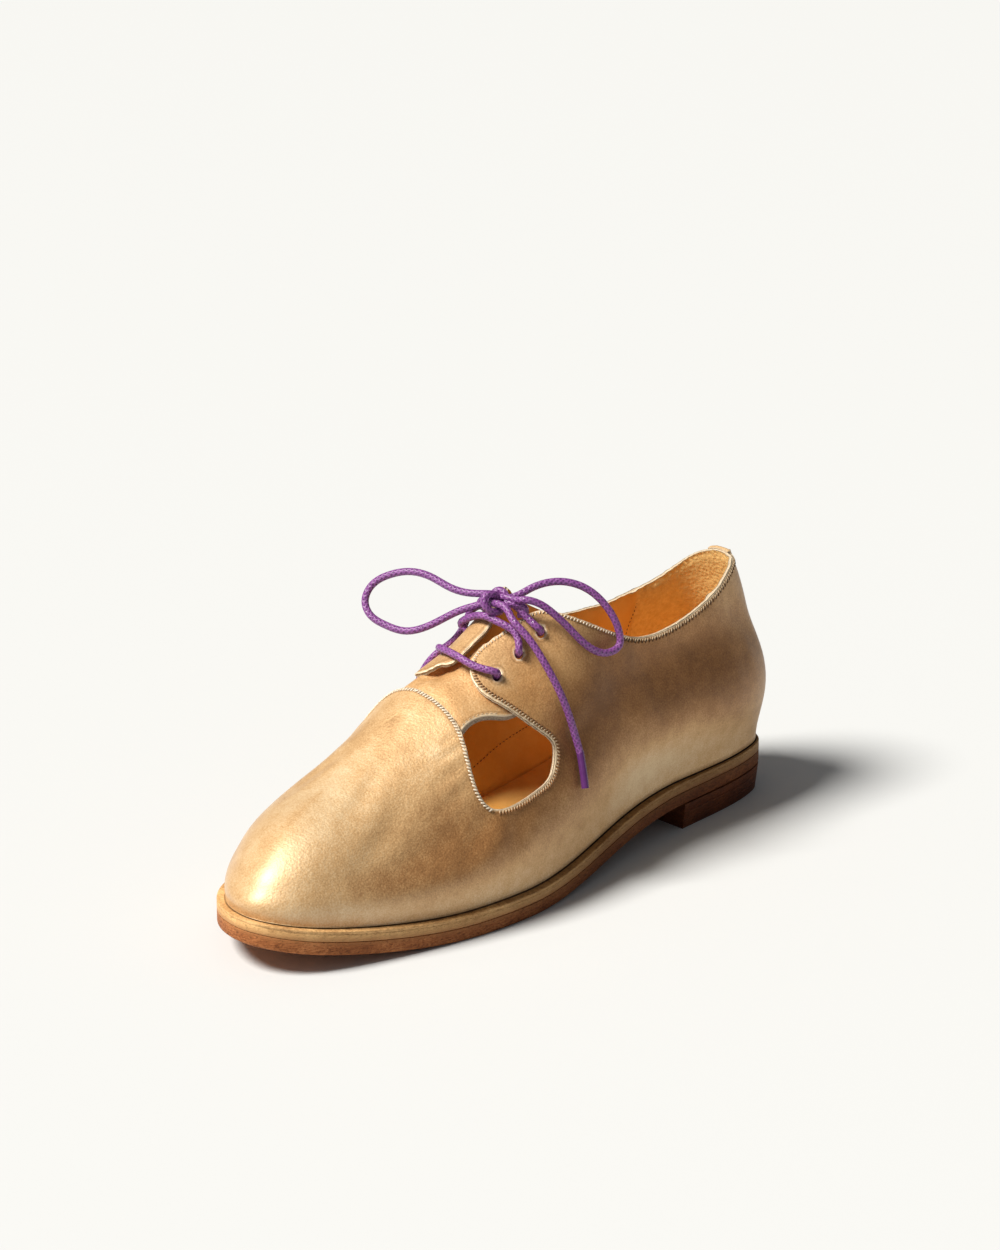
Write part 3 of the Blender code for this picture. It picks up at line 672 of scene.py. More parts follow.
# Far facing: turns and drops bound its darker cut edge, painted shade, the other pairs are a start and a span
farSet = {"turns": (0.46, 0.60), "drops": (-0.33, 0.10), "lift": 0.0006, "sink": 0.0011,
          "front": (0.612, 0.02), "rear": (0.50, 0.05), "curlOuter": (0.10, 0.03), "curlInner": (-0.10, 0.18),
          "flatOuter": (0.06, 0.20), "flatInner": (-0.55, 0.25)}
flatSpan = np.array([0.36, 0.085])
creases = (  # from turn, drop to turn, drop, width, depth
    (0.700, -0.050, 0.672, 0.010, 0.0011, 0.00017),
    (0.694, -0.020, 0.667, 0.040, 0.0011, 0.00019),
    (0.688, 0.010, 0.662, 0.070, 0.0011, 0.00016),
    (0.610, 0.345, 0.632, 0.315, 0.0012, 0.00040),
    (0.611, 0.390, 0.640, 0.360, 0.0014, 0.00034),
    (0.613, 0.460, 0.650, 0.440, 0.0018, 0.00030),
    (0.612, 0.540, 0.655, 0.550, 0.0022, 0.00030),
    (0.600, 0.70, 0.640, 0.78, 0.0035, 0.00050),
    (0.560, 0.73, 0.590, 0.86, 0.0040, 0.00050),
    (0.490, 0.64, 0.455, 0.70, 0.0030, 0.00040),
    (0.500, 0.57, 0.468, 0.60, 0.0028, 0.00034),
    (0.520, 0.33, 0.500, 0.40, 0.0018, 0.00020),
    (0.545, 0.31, 0.535, 0.38, 0.0014, 0.00018),
    (0.430, 0.45, 0.395, 0.72, 0.0050, 0.00060),
    (0.385, 0.56, 0.345, 0.76, 0.0048, 0.00050),
    (0.300, 0.66, 0.235, 0.78, 0.0050, 0.00050),
    (0.200, 0.62, 0.130, 0.72, 0.0045, 0.00040),
    (0.140, 0.80, 0.060, 0.84, 0.0060, 0.00040),
    (0.700, 0.45, 0.760, 0.62, 0.0060, 0.00050),
    (0.725, 0.20, 0.790, 0.30, 0.0060, 0.00040),
)
# Tone patches: partly the leather's own mottling, partly painted shade on the quarter, heel side and vamp
# side, and painted light on the toe and top with a painted reflection of the floor low on the sides
patches = (  # turn, drop, reach in turn, reach in drop, lighter (+) or darker (-)
    (0.90, 0.35, 0.12, 0.40, 0.16),
    (0.84, 0.15, 0.08, 0.25, 0.10),
    (0.80, 0.90, 0.10, 0.09, 0.18),
    (0.725, 0.76, 0.06, 0.10, -0.30),
    (0.65, 0.64, 0.035, 0.12, -0.24),
    (0.637, 0.33, 0.03, 0.12, 0.16),
    (0.69, 0.05, 0.05, 0.20, 0.03),
    (0.694, 0.03, 0.018, 0.06, -0.12),
    (0.60, 0.78, 0.06, 0.09, -0.30),
    (0.62, 0.95, 0.10, 0.06, 0.12),
    (0.481, 0.71, 0.05, 0.12, -0.24),
    (0.431, 0.68, 0.07, 0.12, -0.30),
    (0.36, 0.64, 0.13, 0.16, -0.20),
    (0.323, 0.77, 0.07, 0.08, -0.32),
    (0.23, 0.78, 0.07, 0.10, -0.30),
    (0.37, 0.92, 0.10, 0.07, 0.34),
    (0.227, 0.95, 0.06, 0.06, 0.14),
    (0.12, 0.76, 0.08, 0.13, -0.24),
    (0.538, 0.272, 0.011, 0.045, 0.30),
)
paintedShadePatches = ((0.478, -0.35, 0.042, 0.14, 0.92),)  # the same, painted shade that darkens the lining under both facings
warmPatches = (  # turn, drop, reach in turn, reach in drop, warmth
    (0.51, 0.42, 0.06, 0.16, 0.85),
    (0.39, 0.68, 0.14, 0.16, 0.75),
    (0.24, 0.74, 0.10, 0.12, 0.45),
    (0.62, 0.74, 0.10, 0.14, 0.55),
)


def creaseHeight(turn, drop):
    place = np.stack([turn, drop], -1) * flatSpan
    height = np.zeros(np.shape(turn))
    for t0, d0, t1, d1, width, depth in creases:
        for side in (1.0, -1.0):
            start = np.array([t0, side * d0]) * flatSpan
            end = np.array([t1, side * d1]) * flatSpan
            run = end - start
            share = np.clip(((place - start) @ run) / (run @ run), 0.0, 1.0)
            gap = np.linalg.norm(place - start - share[..., None] * run, axis=-1) / width
            fade = np.sin(np.pi * np.clip(0.12 + 0.76 * share, 0.0, 1.0))
            height -= depth * fade * (np.exp(-gap ** 2) - 0.45 * np.exp(-((gap - 1.7) / 0.9) ** 2))
    return height


def edgeWave(points):
    x, y, z = points.T * 1000.0
    return np.sin(2.1 * x + 0.7 * y) + np.sin(1.7 * y - 0.9 * z) + np.sin(2.6 * z + 1.3 * x)


def patchSum(rows, turn, drop):
    tone = np.zeros(np.shape(turn))
    for t, d, reachTurn, reachDrop, amount in rows:
        for side in (1.0, -1.0):
            far = ((turn - t) / reachTurn) ** 2 + ((drop - side * d) / reachDrop) ** 2
            tone += amount * np.exp(-far)
    return tone


def farRise(turn, drop):  # the far facing curls up at the gap and lies flatter beyond the ridge
    along = below(turn, *farSet["front"]) * above(turn, *farSet["rear"])
    curl = farSet["lift"] * below(drop, *farSet["curlOuter"]) * above(drop, *farSet["curlInner"])
    flat = farSet["sink"] * below(drop, *farSet["flatOuter"]) * above(drop, *farSet["flatInner"])
    return along * (curl - flat)


def smoothEdge(points):
    return route(np.asarray(points) * flatSpan, upperSet["edgeStep"]) / flatSpan


def straightEdge(start, end):
    length = np.linalg.norm((np.asarray(end) - start) * flatSpan)
    return np.linspace(start, end, max(2, int(np.ceil(length / sheetSet["straightStep"]))) + 1)


def otherSide(points):
    return np.asarray(points)[::-1] * (1.0, -1.0)


def holeLoop(turn, drop, radius):
    forward, down = spans(np.array([turn]), np.array([drop]))
    angle = np.linspace(0.0, 2.0 * np.pi, sheetSet["holeSides"], endpoint=False)
    across = turn + np.cos(angle) * radius / np.linalg.norm(forward)
    return np.stack([across, drop + np.sin(angle) * radius / np.linalg.norm(down)], -1)


def isInside(points, loop):
    x, y = points[:, 0], points[:, 1]
    inside = np.zeros(len(points), bool)
    for start, end in zip(loop, np.roll(loop, -1, axis=0)):
        if start[1] != end[1]:
            crossing = (start[1] > y) != (end[1] > y)
            meet = start[0] + (y - start[1]) / (end[1] - start[1]) * (end[0] - start[0])
            inside ^= crossing & (x < meet)
    return inside


def inSheet(points, loops):
    inside = isInside(points, loops[0])
    for hole in loops[1:]:
        inside &= ~isInside(points, hole)
    return inside


def nearest(points, targets):
    tree = KDTree(len(targets))
    for i, target in enumerate(targets):
        tree.insert(target, i)
    tree.balance()
    return np.array([tree.find(p)[2] for p in points])


def pad(points):
    return np.concatenate([points, np.zeros((len(points), 1))], axis=1)


def trimmedSheet(loops, ringPlaces, gridTurns, gridDrops, turnRange, dropRange):
    flatLoops = [loop * flatSpan for loop in loops]
    border = np.concatenate(flatLoops)
    rings = ringPlaces * flatSpan
    rings = rings[inSheet(rings, flatLoops)]
    rings = rings[nearest(pad(rings), pad(border)) > sheetSet["ringGap"]]
    turns, drops = np.meshgrid(np.linspace(*turnRange, gridTurns), np.linspace(*dropRange, gridDrops))
    grid = np.stack([turns.ravel(), drops.ravel()], -1) * flatSpan
    grid = grid[inSheet(grid, flatLoops)]
    grid = grid[nearest(pad(grid), pad(np.concatenate([border, rings]))) > sheetSet["gridGap"]]
    points = np.concatenate([border, rings, grid])
    links = []
    start = 0
    for loop in loops:
        links += [(start + i, start + (i + 1) % len(loop)) for i in range(len(loop))]
        start += len(loop)
    found = delaunay_2d_cdt([tuple(p) for p in points], links, [], 0, 1e-8)
    places = np.array([tuple(p) for p in found[0]])
    triangles = np.array([tuple(f) for f in found[2]])
    keep = inSheet(places[triangles].mean(axis=1), flatLoops)
    triangles = triangles[keep]
    one = places[triangles[:, 1]] - places[triangles[:, 0]]
    two = places[triangles[:, 2]] - places[triangles[:, 0]]
    area = one[:, 0] * two[:, 1] - one[:, 1] * two[:, 0]
    triangles[area < 0.0] = triangles[area < 0.0][:, ::-1]
    triangles = triangles[np.abs(area) > 1e-13]
    whereNow = {}
    for i, old in enumerate(found[3]):
        for k in old:
            whereNow[k] = i
    chains = []
    start = 0
    for loop in loops:
        chains.append([whereNow[start + i] for i in range(len(loop))])
        start += len(loop)
    return places / flatSpan, triangles, chains


def bell(value, reach):
    return np.exp(-(value / reach) ** 2)


def between(values, ends):
    return (values > ends[0]) & (values < ends[1])


def edgeDepth(distance, radius):
    short = np.clip(1.0 - distance / radius, 0.0, 1.0)
    return radius * (1.0 - np.sqrt(1.0 - short ** 2))


outerCut = smoothEdge(vampEdge + windowEdge + outerFacing + outerCollar)
innerCut = otherSide(smoothEdge(vampEdge + windowEdge + innerFacing + innerCollar))
collarBack = outerCollar[-1][1]


def collarDrop(turn, outer):
    outside = outerCut[outerCut[:, 0] < upperSet["collarEnd"]][::-1]
    inside = innerCut[innerCut[:, 0] < upperSet["collarEnd"]]
    outerDrop = np.interp(turn, outside[:, 0], outside[:, 1])
    return np.where(outer, outerDrop, np.interp(turn, inside[:, 0], -inside[:, 1]))


def makeUpper():
    seamEnd = upperSet["toeSeamEnd"]
    loop = np.concatenate([
        outerCut[:-1],
        straightEdge((0.0, collarBack), (0.0, 1.0))[:-1],
        straightEdge((0.0, 1.0), (1.0, 1.0))[:-1],
        straightEdge((1.0, 1.0), (1.0, seamEnd)),
        straightEdge((1.0, -seamEnd), (1.0, -1.0))[:-1],
        straightEdge((1.0, -1.0), (0.0, -1.0))[:-1],
        straightEdge((0.0, -1.0), (0.0, -collarBack))[:-1],
        innerCut[:-1],
    ])
    holes = [holeLoop(t, d, upperSet["holeRadius"]) for t, d in outerHoles + innerHoles]
    rings = []
    for distance in upperSet["rings"]:
        rings += [insetPath(outerCut, -distance), insetPath(innerCut, -distance)]
        rings += [holeLoop(t, d, upperSet["holeRadius"] + distance) for t, d in outerHoles + innerHoles]
    for turn in upperSet["backRows"]:
        for side in (1.0, -1.0):
            rings.append(straightEdge((turn, side * (collarBack + 0.02)), (turn, side * 0.99)))
    places, triangles, chains = trimmedSheet([loop] + holes, np.concatenate(rings), upperSet["gridTurns"],
                                             upperSet["gridDrops"], (0.0, 1.0), (-1.0, 1.0))
    turn, drop = places.T
    edges = np.concatenate([outerCut, innerCut])
    flat = lastPoint(turn, drop)
    distance = nearest(flat, lastPoint(*np.concatenate([edges] + holes).T))
    cutOnly = nearest(flat, lastPoint(*edges.T))
    raised = creaseHeight(turn, drop) * ease(distance / upperSet["creaseFade"])
    raised += upperSet["edgeWave"] * edgeWave(flat) * np.exp(-cutOnly / upperSet["waveReach"])
    raised += farRise(turn, drop)
    sunk = upperSet["stitchSink"] * bell(cutOnly - upperSet["stitchInset"], upperSet["stitchWidth"])
    sunk += upperSet["backSeam"] * bell(turn, upperSet["backSeamReach"])
    counter = 1.0 - above(turn, *upperSet["counterEnd"])
    thicker = upperSet["counterThick"] * counter * above(cutOnly, *upperSet["counterRim"])
    jointTurns, jointDepth = upperSet["jointReach"]
    joint = bell(turn - upperSet["jointTurn"], jointTurns) * bell(cutOnly, jointDepth)
    thicker += upperSet["jointLump"] * joint
    outside = skin(turn, drop, edgeDepth(distance, upperSet["edgeRound"]) - raised + sunk)
    inside = skin(turn, drop, last["wall"] + thicker - edgeDepth(distance, upperSet["liningRound"]) - raised)
    count = len(places)
    points = [outside, inside]
    faces = [tuple(t) for t in triangles] + [tuple(t[::-1] + count) for t in triangles]
    slots = [0] * len(triangles) + [2] * len(triangles)
    extra = 2 * count
    edgeFloat = [distance, distance]
    tone = patchSum(patches, turn, drop)
    warm = patchSum(warmPatches, turn, drop)
    for chain in chains:
        ids = np.array(chain)
        rows = [ids]
        for share in upperSet["edgeRows"]:
            points.append(outside[ids] + (inside[ids] - outside[ids]) * share)
            edgeFloat.append(np.zeros(len(ids)))
            rows.append(np.arange(extra, extra + len(ids)))
            extra += len(ids)
        rows.append(ids + count)
        # the far facing's cut edge takes the darker edge finish, painted shade
        far = between(turn[ids], farSet["turns"]) & between(drop[ids], farSet["drops"])
        for level, (upperRow, lowerRow) in enumerate(zip(rows[:-1], rows[1:])):
            for i in range(len(ids)):
                j = (i + 1) % len(ids)
                if max(turn[ids[i]], turn[ids[j]]) < 1e-6 or min(turn[ids[i]], turn[ids[j]]) > 1.0 - 1e-6:
                    continue  # the two halves are joined here
                faces.append((upperRow[j], upperRow[i], lowerRow[i], lowerRow[j]))
                slots.append(3 if level == 1 else 4 if far[i] else 1)
    points = np.concatenate(points)
    edgeFloat = np.concatenate(edgeFloat)
    more = len(points) - 2 * count
    floats = {
        "edgeDistance": edgeFloat,
        # outside: tone patches with painted light and shade; lining: painted shade under the facings
        "toneAndPaintedLight": np.concatenate([tone, patchSum(paintedShadePatches, turn, drop), np.zeros(more)]),
        "warmth": np.concatenate([warm, warm, np.zeros(more)]),
        "counter": np.concatenate([counter, counter, np.zeros(more)]),
    }
    finishes = (upperLeather, rawEdge, upperLining, tongueEdge, paintedShadeEdge)
    piece = addPiece("upper", points, faces, finishes, slots, floats)
    settle(piece, "upper_leather", "upper")
    return piece


upper = makeUpper()
print("upper made:", len(upper.data.polygons), "faces")

# Tongue: a short bridge under the vamp's rear edge and the facings
tongueFront = ((0.668, 0.000), (0.664, 0.150), (0.650, 0.290), (0.620, 0.340), (0.595, 0.327), (0.564, 0.376))
outerTongueEnd = ((0.528, 0.455), (0.512, 0.450), (0.508, 0.380), (0.512, 0.260), (0.517, 0.150),
                  (0.524, 0.095), (0.538, 0.076), (0.552, 0.066))
innerTongueEnd = ((0.540, 0.430), (0.528, 0.415), (0.532, 0.330), (0.550, 0.220), (0.561, 0.100),
                  (0.562, 0.000), (0.558, -0.045))
tongueSet = {"thickness": 0.0019, "edgeLean": 0.0011, "depthFront": 0.00205, "depthBack": 0.0029,
             "backFade": (0.605, 0.03), "farDrop": 0.0028, "farFade": (0.616, 0.026),
             "farOuter": (0.10, 0.12), "farInner": (-0.17, 0.13), "leanFade": 0.0012,
             "rings": (0.00015, 0.0003, 0.0005, 0.001), "edgeRound": 0.0004, "liningRound": 0.0003,
             "warmth": 0.45, "gridTurns": 70, "gridDrops": 50, "turns": (0.495, 0.67), "drops": (-0.5, 0.5)}


def tongueDepth(turn, drop):
    back = below(turn, *tongueSet["backFade"])
    depth = tongueSet["depthFront"] + (tongueSet["depthBack"] - tongueSet["depthFront"]) * back
    far = below(drop, *tongueSet["farOuter"]) * above(drop, *tongueSet["farInner"])
    return depth + tongueSet["farDrop"] * below(turn, *tongueSet["farFade"]) * far


def makeTongue():
    innerHalf = otherSide(smoothEdge(tongueFront + innerTongueEnd))
    loop = np.concatenate([smoothEdge(tongueFront + outerTongueEnd), innerHalf[:-1]])
    rings = [insetPath(loop, d) for d in tongueSet["rings"]]
    places, triangles, chains = trimmedSheet([loop], np.concatenate(rings), tongueSet["gridTurns"],
                                             tongueSet["gridDrops"], tongueSet["turns"], tongueSet["drops"])
    turn, drop = places.T
    distance = nearest(lastPoint(turn, drop), lastPoint(*loop.T))
    depth = tongueDepth(turn, drop)
    outside = skin(turn, drop, depth + edgeDepth(distance, tongueSet["edgeRound"]))
    lean = insetPath(loop, -tongueSet["edgeLean"]) - loop
    beside = np.linalg.norm((places[:, None] - loop[None]) * flatSpan, axis=-1).argmin(axis=1)
    under = places + lean[beside] * ease(1.0 - distance / tongueSet["leanFade"])[:, None]
    inside = skin(*under.T, depth + tongueSet["thickness"] - edgeDepth(distance, tongueSet["liningRound"]))
    count = len(places)
    faces = [tuple(t) for t in triangles] + [tuple(t[::-1] + count) for t in triangles]
    slots = [0] * len(triangles) + [2] * len(triangles)
    ids = np.array(chains[0])
    for i in range(len(ids)):
        j = (i + 1) % len(ids)
        faces.append((ids[j], ids[i], ids[i] + count, ids[j] + count))
        slots.append(1)
    tone = patchSum(patches, turn, drop) * 0.5
    floats = {"edgeDistance": np.concatenate([distance, distance]), "toneAndPaintedLight": np.concatenate([tone, tone]),
              "warmth": np.full(2 * count, tongueSet["warmth"]), "counter": np.zeros(2 * count)}
    finishes = (tongueLeather, tongueEdge, upperLining)
    piece = addPiece("tongue", np.concatenate([outside, inside]), faces, finishes, slots, floats)
    settle(piece, "tongue_leather", "tongue")
    return piece


tongue = makeTongue()
print("tongue made:", len(tongue.data.polygons), "faces")


# Sole layers: closed loops round the outline, joined by straight sections across the foot
def layeredPlate(name, slotName, finishes, turns, profile):
    points = []
    faces = []
    loops = []
    heights = []
    bothLayers = last["outsoleThickness"] + last["midsoleThickness"]
    for inset, height in profile:
        ids = []
        for side, order in ((1, turns), (-1, turns[::-1])):
            across, along, outAcross, outAlong = insetEdge(order, side, inset(order))
            start = len(points)
            place = np.stack([across, last["soleLength"] / 2.0 - along, height(along)], -1) + shift
            points += list(place)
            heights += list((place[:, 2] - soleBottom(along)) / bothLayers)
            ids.append(list(range(start, start + len(order))))
        loops.append((ids[0], ids[1][::-1]))
    for (outer0, inner0), (outer1, inner1) in zip(loops[:-1], loops[1:]):
        low = outer0 + inner0[::-1]
        high = outer1 + inner1[::-1]
        for i in range(len(low)):
            j = (i + 1) % len(low)
            faces.append((low[j], low[i], high[i], high[j]))
    for (outer, inner), flip in ((loops[0], True), (loops[-1], False)):
        for i in range(len(outer) - 1):
            quad = (outer[i], outer[i + 1], inner[i + 1], inner[i])
            faces.append(quad[::-1] if flip else quad)
    slots = np.zeros(len(faces), np.int32)
    if len(finishes) > 1:  # the seam's finish lies on the top row and the top face
        round0 = len(loops[0][0]) * 2
        first = round0 * (len(loops) - 2)
        slots[first:first + round0] = 1
        slots[-(len(loops[0][0]) - 1):] = 1
    piece = addPiece(name, points, faces, finishes, slots, {"layerHeight": heights}, True,
                     soleSet["sharpAngle"])
    settle(piece, slotName, name)
    return piece


def level(lift):
    return lambda along: soleBottom(along) + lift


def steady(value):
    return lambda turn: np.full(np.shape(turn), value)


def boardInset(extra):
    return lambda turn: weltWidth(turn) + last["wall"] + 2.0 * last["wallGap"] + extra


soleSet = {"stations": 190, "heelStations": 70, "lifts": 3, "liftGap": 0.0003, "groove": 0.00022,
           "liftProfile": ((0.0, 1.0), (0.05, 0.15), (0.10, 0.0), (0.90, 0.0), (0.95, 0.15), (1.0, 1.0)),
           "taper": 0.0012, "outsoleRounds": (0.0009, 0.00025), "layerGap": 0.00015,
           "midsoleRounds": (0.0003, 0.0004), "lip": 0.0011, "lipGroove": 0.00014, "lipReach": 0.0003,
           "seamReach": 0.0005, "seamLeast": 0.0006, "underUpper": 0.0016, "boardGap": 0.0003,
           "insoleThickness": 0.0025, "insoleRounds": (0.0003, 0.0009), "sharpAngle": 0.9}


def seamStart(turn):
    return np.maximum(soleSet["seamLeast"], weltWidth(turn) - soleSet["seamReach"])


def seamEnd(turn):
    return weltWidth(turn) + soleSet["underUpper"]


def roundedProfile(low, high, rounds, insetAt):
    rows = []
    lowRadius, highRadius = rounds
    quarter = np.linspace(0.0, np.pi / 2.0, 5)
    for angle in quarter:
        inset = insetAt(lowRadius * (1.0 - np.sin(angle)))
        rows.append((inset, level(low + lowRadius * (1.0 - np.cos(angle)))))
    for angle in quarter:
        inset = insetAt(highRadius * (1.0 - np.cos(angle)))
        rows.append((inset, level(high - highRadius * (1.0 - np.sin(angle)))))
    return rows


def makeSole():
    turns = np.linspace(0.0, 1.0, soleSet["stations"])
    thick = last["outsoleThickness"]
    rows = roundedProfile(0.0, thick, soleSet["outsoleRounds"], steady)
    outsole = layeredPlate("outsole", "sole_leather", (soleLeather,), turns, rows)
    top = thick + last["midsoleThickness"]
    rows = roundedProfile(thick + soleSet["layerGap"], top, soleSet["midsoleRounds"], steady)
    lip = top - soleSet["lip"]
    for share in (-1.0, -0.5, 0.0, 0.5, 1.0):  # fine line under the welt's lip
        groove = soleSet["lipGroove"] * (1.0 - share * share)
        rows.insert(-5, (steady(groove), level(lip + soleSet["lipReach"] * share)))
    rows += [(seamStart, level(top)), (seamEnd, level(top))]
    midsole = layeredPlate("midsole", "welt_leather", (weltLeather, weltSeam), turns, rows)
    breast = np.arccos(1.0 - 2.0 * last["seatEnd"]) / np.pi
    seat = np.linspace(0.0, breast, soleSet["heelStations"])
    rows = []
    liftHeight = (last["heelHeight"] - soleSet["liftGap"]) / soleSet["lifts"]
    for i in range(soleSet["lifts"]):
        for share, groove in soleSet["liftProfile"]:
            z = (i + share) * liftHeight
            inset = soleSet["taper"] * (1.0 - z / last["heelHeight"]) + soleSet["groove"] * groove
            rows.append((steady(inset), lambda along, z=z: 0.0 * along + z))
    heel = layeredPlate("heel", "heel_leather", (heelLeather,), seat, rows)
    low = top + soleSet["boardGap"]
    rows = roundedProfile(low, low + soleSet["insoleThickness"], soleSet["insoleRounds"], boardInset)
    insole = layeredPlate("insole", "lining_leather", (boardLeather,), turns, rows)
    return outsole, midsole, heel, insole


soleParts = makeSole()
print("sole made:", [len(part.data.polygons) for part in soleParts])


# Stitches along a path, placed with Geometry Nodes
def stitchTree():
    tree = bpy.data.node_groups.new("stitch row", "GeometryNodeTree")
    face = tree.interface
    face.new_socket("Geometry", in_out="INPUT", socket_type="NodeSocketGeometry")
    sockets = {}
    for name, kind, value in (("Pitch", "NodeSocketFloat", 0.002), ("Length", "NodeSocketFloat", 0.0017),
                              ("Width", "NodeSocketFloat", 0.0005), ("Slant", "NodeSocketFloat", 0.2),
                              ("Jitter", "NodeSocketFloat", 0.1), ("Seed", "NodeSocketInt", 1)):
        socket = face.new_socket(name, in_out="INPUT", socket_type=kind)
        socket.default_value = value
        sockets[name] = socket.identifier
    sockets["Thread"] = face.new_socket("Thread", in_out="INPUT", socket_type="NodeSocketMaterial").identifier
    face.new_socket("Geometry", in_out="OUTPUT", socket_type="NodeSocketGeometry")
    given = tree.nodes.new("NodeGroupInput").outputs
    done = tree.nodes.new("NodeGroupOutput")
    curve = node(tree, "GeometryNodeMeshToCurve", {"Mesh": given["Geometry"]})
    even = node(tree, "GeometryNodeResampleCurve", {"Curve": curve.outputs[0], "Length": given["Pitch"]},
                mode="LENGTH")
    up = node(tree, "GeometryNodeInputNamedAttribute", {"Name": "faceUp"}, data_type="FLOAT_VECTOR")
    tangent = node(tree, "GeometryNodeInputTangent")
    along = node(tree, "FunctionNodeAlignRotationToVector", {"Vector": tangent.outputs[0]}, axis="X")
    flat = node(tree, "FunctionNodeAlignRotationToVector",
                {"Rotation": along.outputs[0], "Vector": up.outputs[0]}, axis="Z", pivot_axis="X")
    wobble = node(tree, "FunctionNodeRandomValue", {"Seed": given["Seed"]}, data_type="FLOAT")
    sway = node(tree, "ShaderNodeMath", {0: wobble.outputs[1], 1: 0.5}, operation="SUBTRACT")
    sway = node(tree, "ShaderNodeMath", {0: sway.outputs[0], 1: given["Jitter"]}, operation="MULTIPLY")
    sway = node(tree, "ShaderNodeMath", {0: sway.outputs[0], 1: given["Slant"]}, operation="ADD")
    spin = node(tree, "ShaderNodeCombineXYZ", {"Z": sway.outputs[0]})
    turned = node(tree, "FunctionNodeEulerToRotation", {0: spin.outputs[0]})
    rotation = node(tree, "FunctionNodeRotateRotation", {0: flat.outputs[0], 1: turned.outputs[0]},
                    rotation_space="LOCAL")
    ball = node(tree, "GeometryNodeMeshUVSphere", {"Segments": 8, "Rings": 6, "Radius": 0.5})
    size = node(tree, "ShaderNodeCombineXYZ",
                {"X": given["Length"], "Y": given["Width"], "Z": given["Width"]})
    shaped = node(tree, "GeometryNodeTransform", {"Geometry": ball.outputs[0], "Scale": size.outputs[0]})
    smooth = node(tree, "GeometryNodeSetShadeSmooth", {"Geometry": shaped.outputs[0]})
    spots = node(tree, "GeometryNodeInstanceOnPoints",
                 {"Points": even.outputs[0], "Instance": smooth.outputs[0], "Rotation": rotation.outputs[0]})
    real = node(tree, "GeometryNodeRealizeInstances", {"Geometry": spots.outputs[0]})
    dressed = node(tree, "GeometryNodeSetMaterial",
                   {"Geometry": real.outputs[0], "Material": given["Thread"]})
    tree.links.new(dressed.outputs[0], done.inputs[0])
    return tree, sockets


rowTree, rowSockets = stitchTree()


def stitchRow(name, points, ups, thread, slotName, **values):
    data = bpy.data.meshes.new(name + " path")
    data.from_pydata([tuple(p) for p in points], [(i, i + 1) for i in range(len(points) - 1)], [])
    layer = data.attributes.new("faceUp", "FLOAT_VECTOR", "POINT")
    layer.data.foreach_set("vector", np.asarray(ups, np.float32).ravel())
    carrier = addObject(name + " path", data)
    rows = carrier.modifiers.new("rows", "NODES")
    rows.node_group = rowTree
    rows[rowSockets["Thread"]] = thread
    for key, value in values.items():
        rows[rowSockets[key]] = value
    bpy.context.view_layer.update()
    graph = bpy.context.evaluated_depsgraph_get()
    made = bpy.data.meshes.new_from_object(carrier.evaluated_get(graph))
    bpy.data.objects.remove(carrier, do_unlink=True)
    made.name = name
    made.materials.clear()
    made.materials.append(thread)
    piece = addObject(name, made)
    settle(piece, slotName)
    return piece


def pathBetween(path, first, final):
    gap0 = np.linalg.norm((path - first) * flatSpan, axis=1).argmin()
    gap1 = np.linalg.norm((path - final) * flatSpan, axis=1).argmin()
    return path[min(gap0, gap1):max(gap0, gap1) + 1]


stitchSet = {
    "edgeInset": 0.0011,
    "holeInset": 0.0017,
    "lift": 0.00018,
    "creaseShare": 0.3,
    "insideSink": 0.00012,
    "seamStep": 0.0012,
    "seamBelowCollar": 0.012,
    "fine": {"Pitch": 0.00135, "Length": 0.0014, "Width": 0.00050, "Slant": 1.10, "Jitter": 0.4, "Seed": 3},
    "bold": {"Pitch": 0.00140, "Length": 0.0019, "Width": 0.00080, "Slant": 0.85, "Jitter": 0.6, "Seed": 5},
    "holes": {"Pitch": 0.00135, "Length": 0.0012, "Width": 0.00066, "Slant": 1.15, "Jitter": 0.4, "Seed": 8},
    "teeth": {"Pitch": 0.0019, "Length": 0.0018, "Width": 0.00055, "Slant": 1.30, "Jitter": 0.3, "Seed": 9},
    "plain": {"Pitch": 0.0017, "Length": 0.0013, "Width": 0.00042, "Slant": 0.1, "Jitter": 0.3, "Seed": 4},
    "strip": {"Pitch": 0.0018, "Length": 0.0015, "Width": 0.0004, "Slant": 0.12, "Jitter": 0.2, "Seed": 14},
    "inside": {"Pitch": 0.0018, "Length": 0.0011, "Width": 0.0004, "Slant": 0.0, "Jitter": 0.3, "Seed": 11},
}


def onSkin(path, lift):
    turn, drop = path.T
    normal = lastNormal(turn, drop)
    raised = creaseHeight(turn, drop) * stitchSet["creaseShare"] + lift
    raised += farRise(turn, drop)
    return lastPoint(turn, drop) + normal * raised[:, None], normal


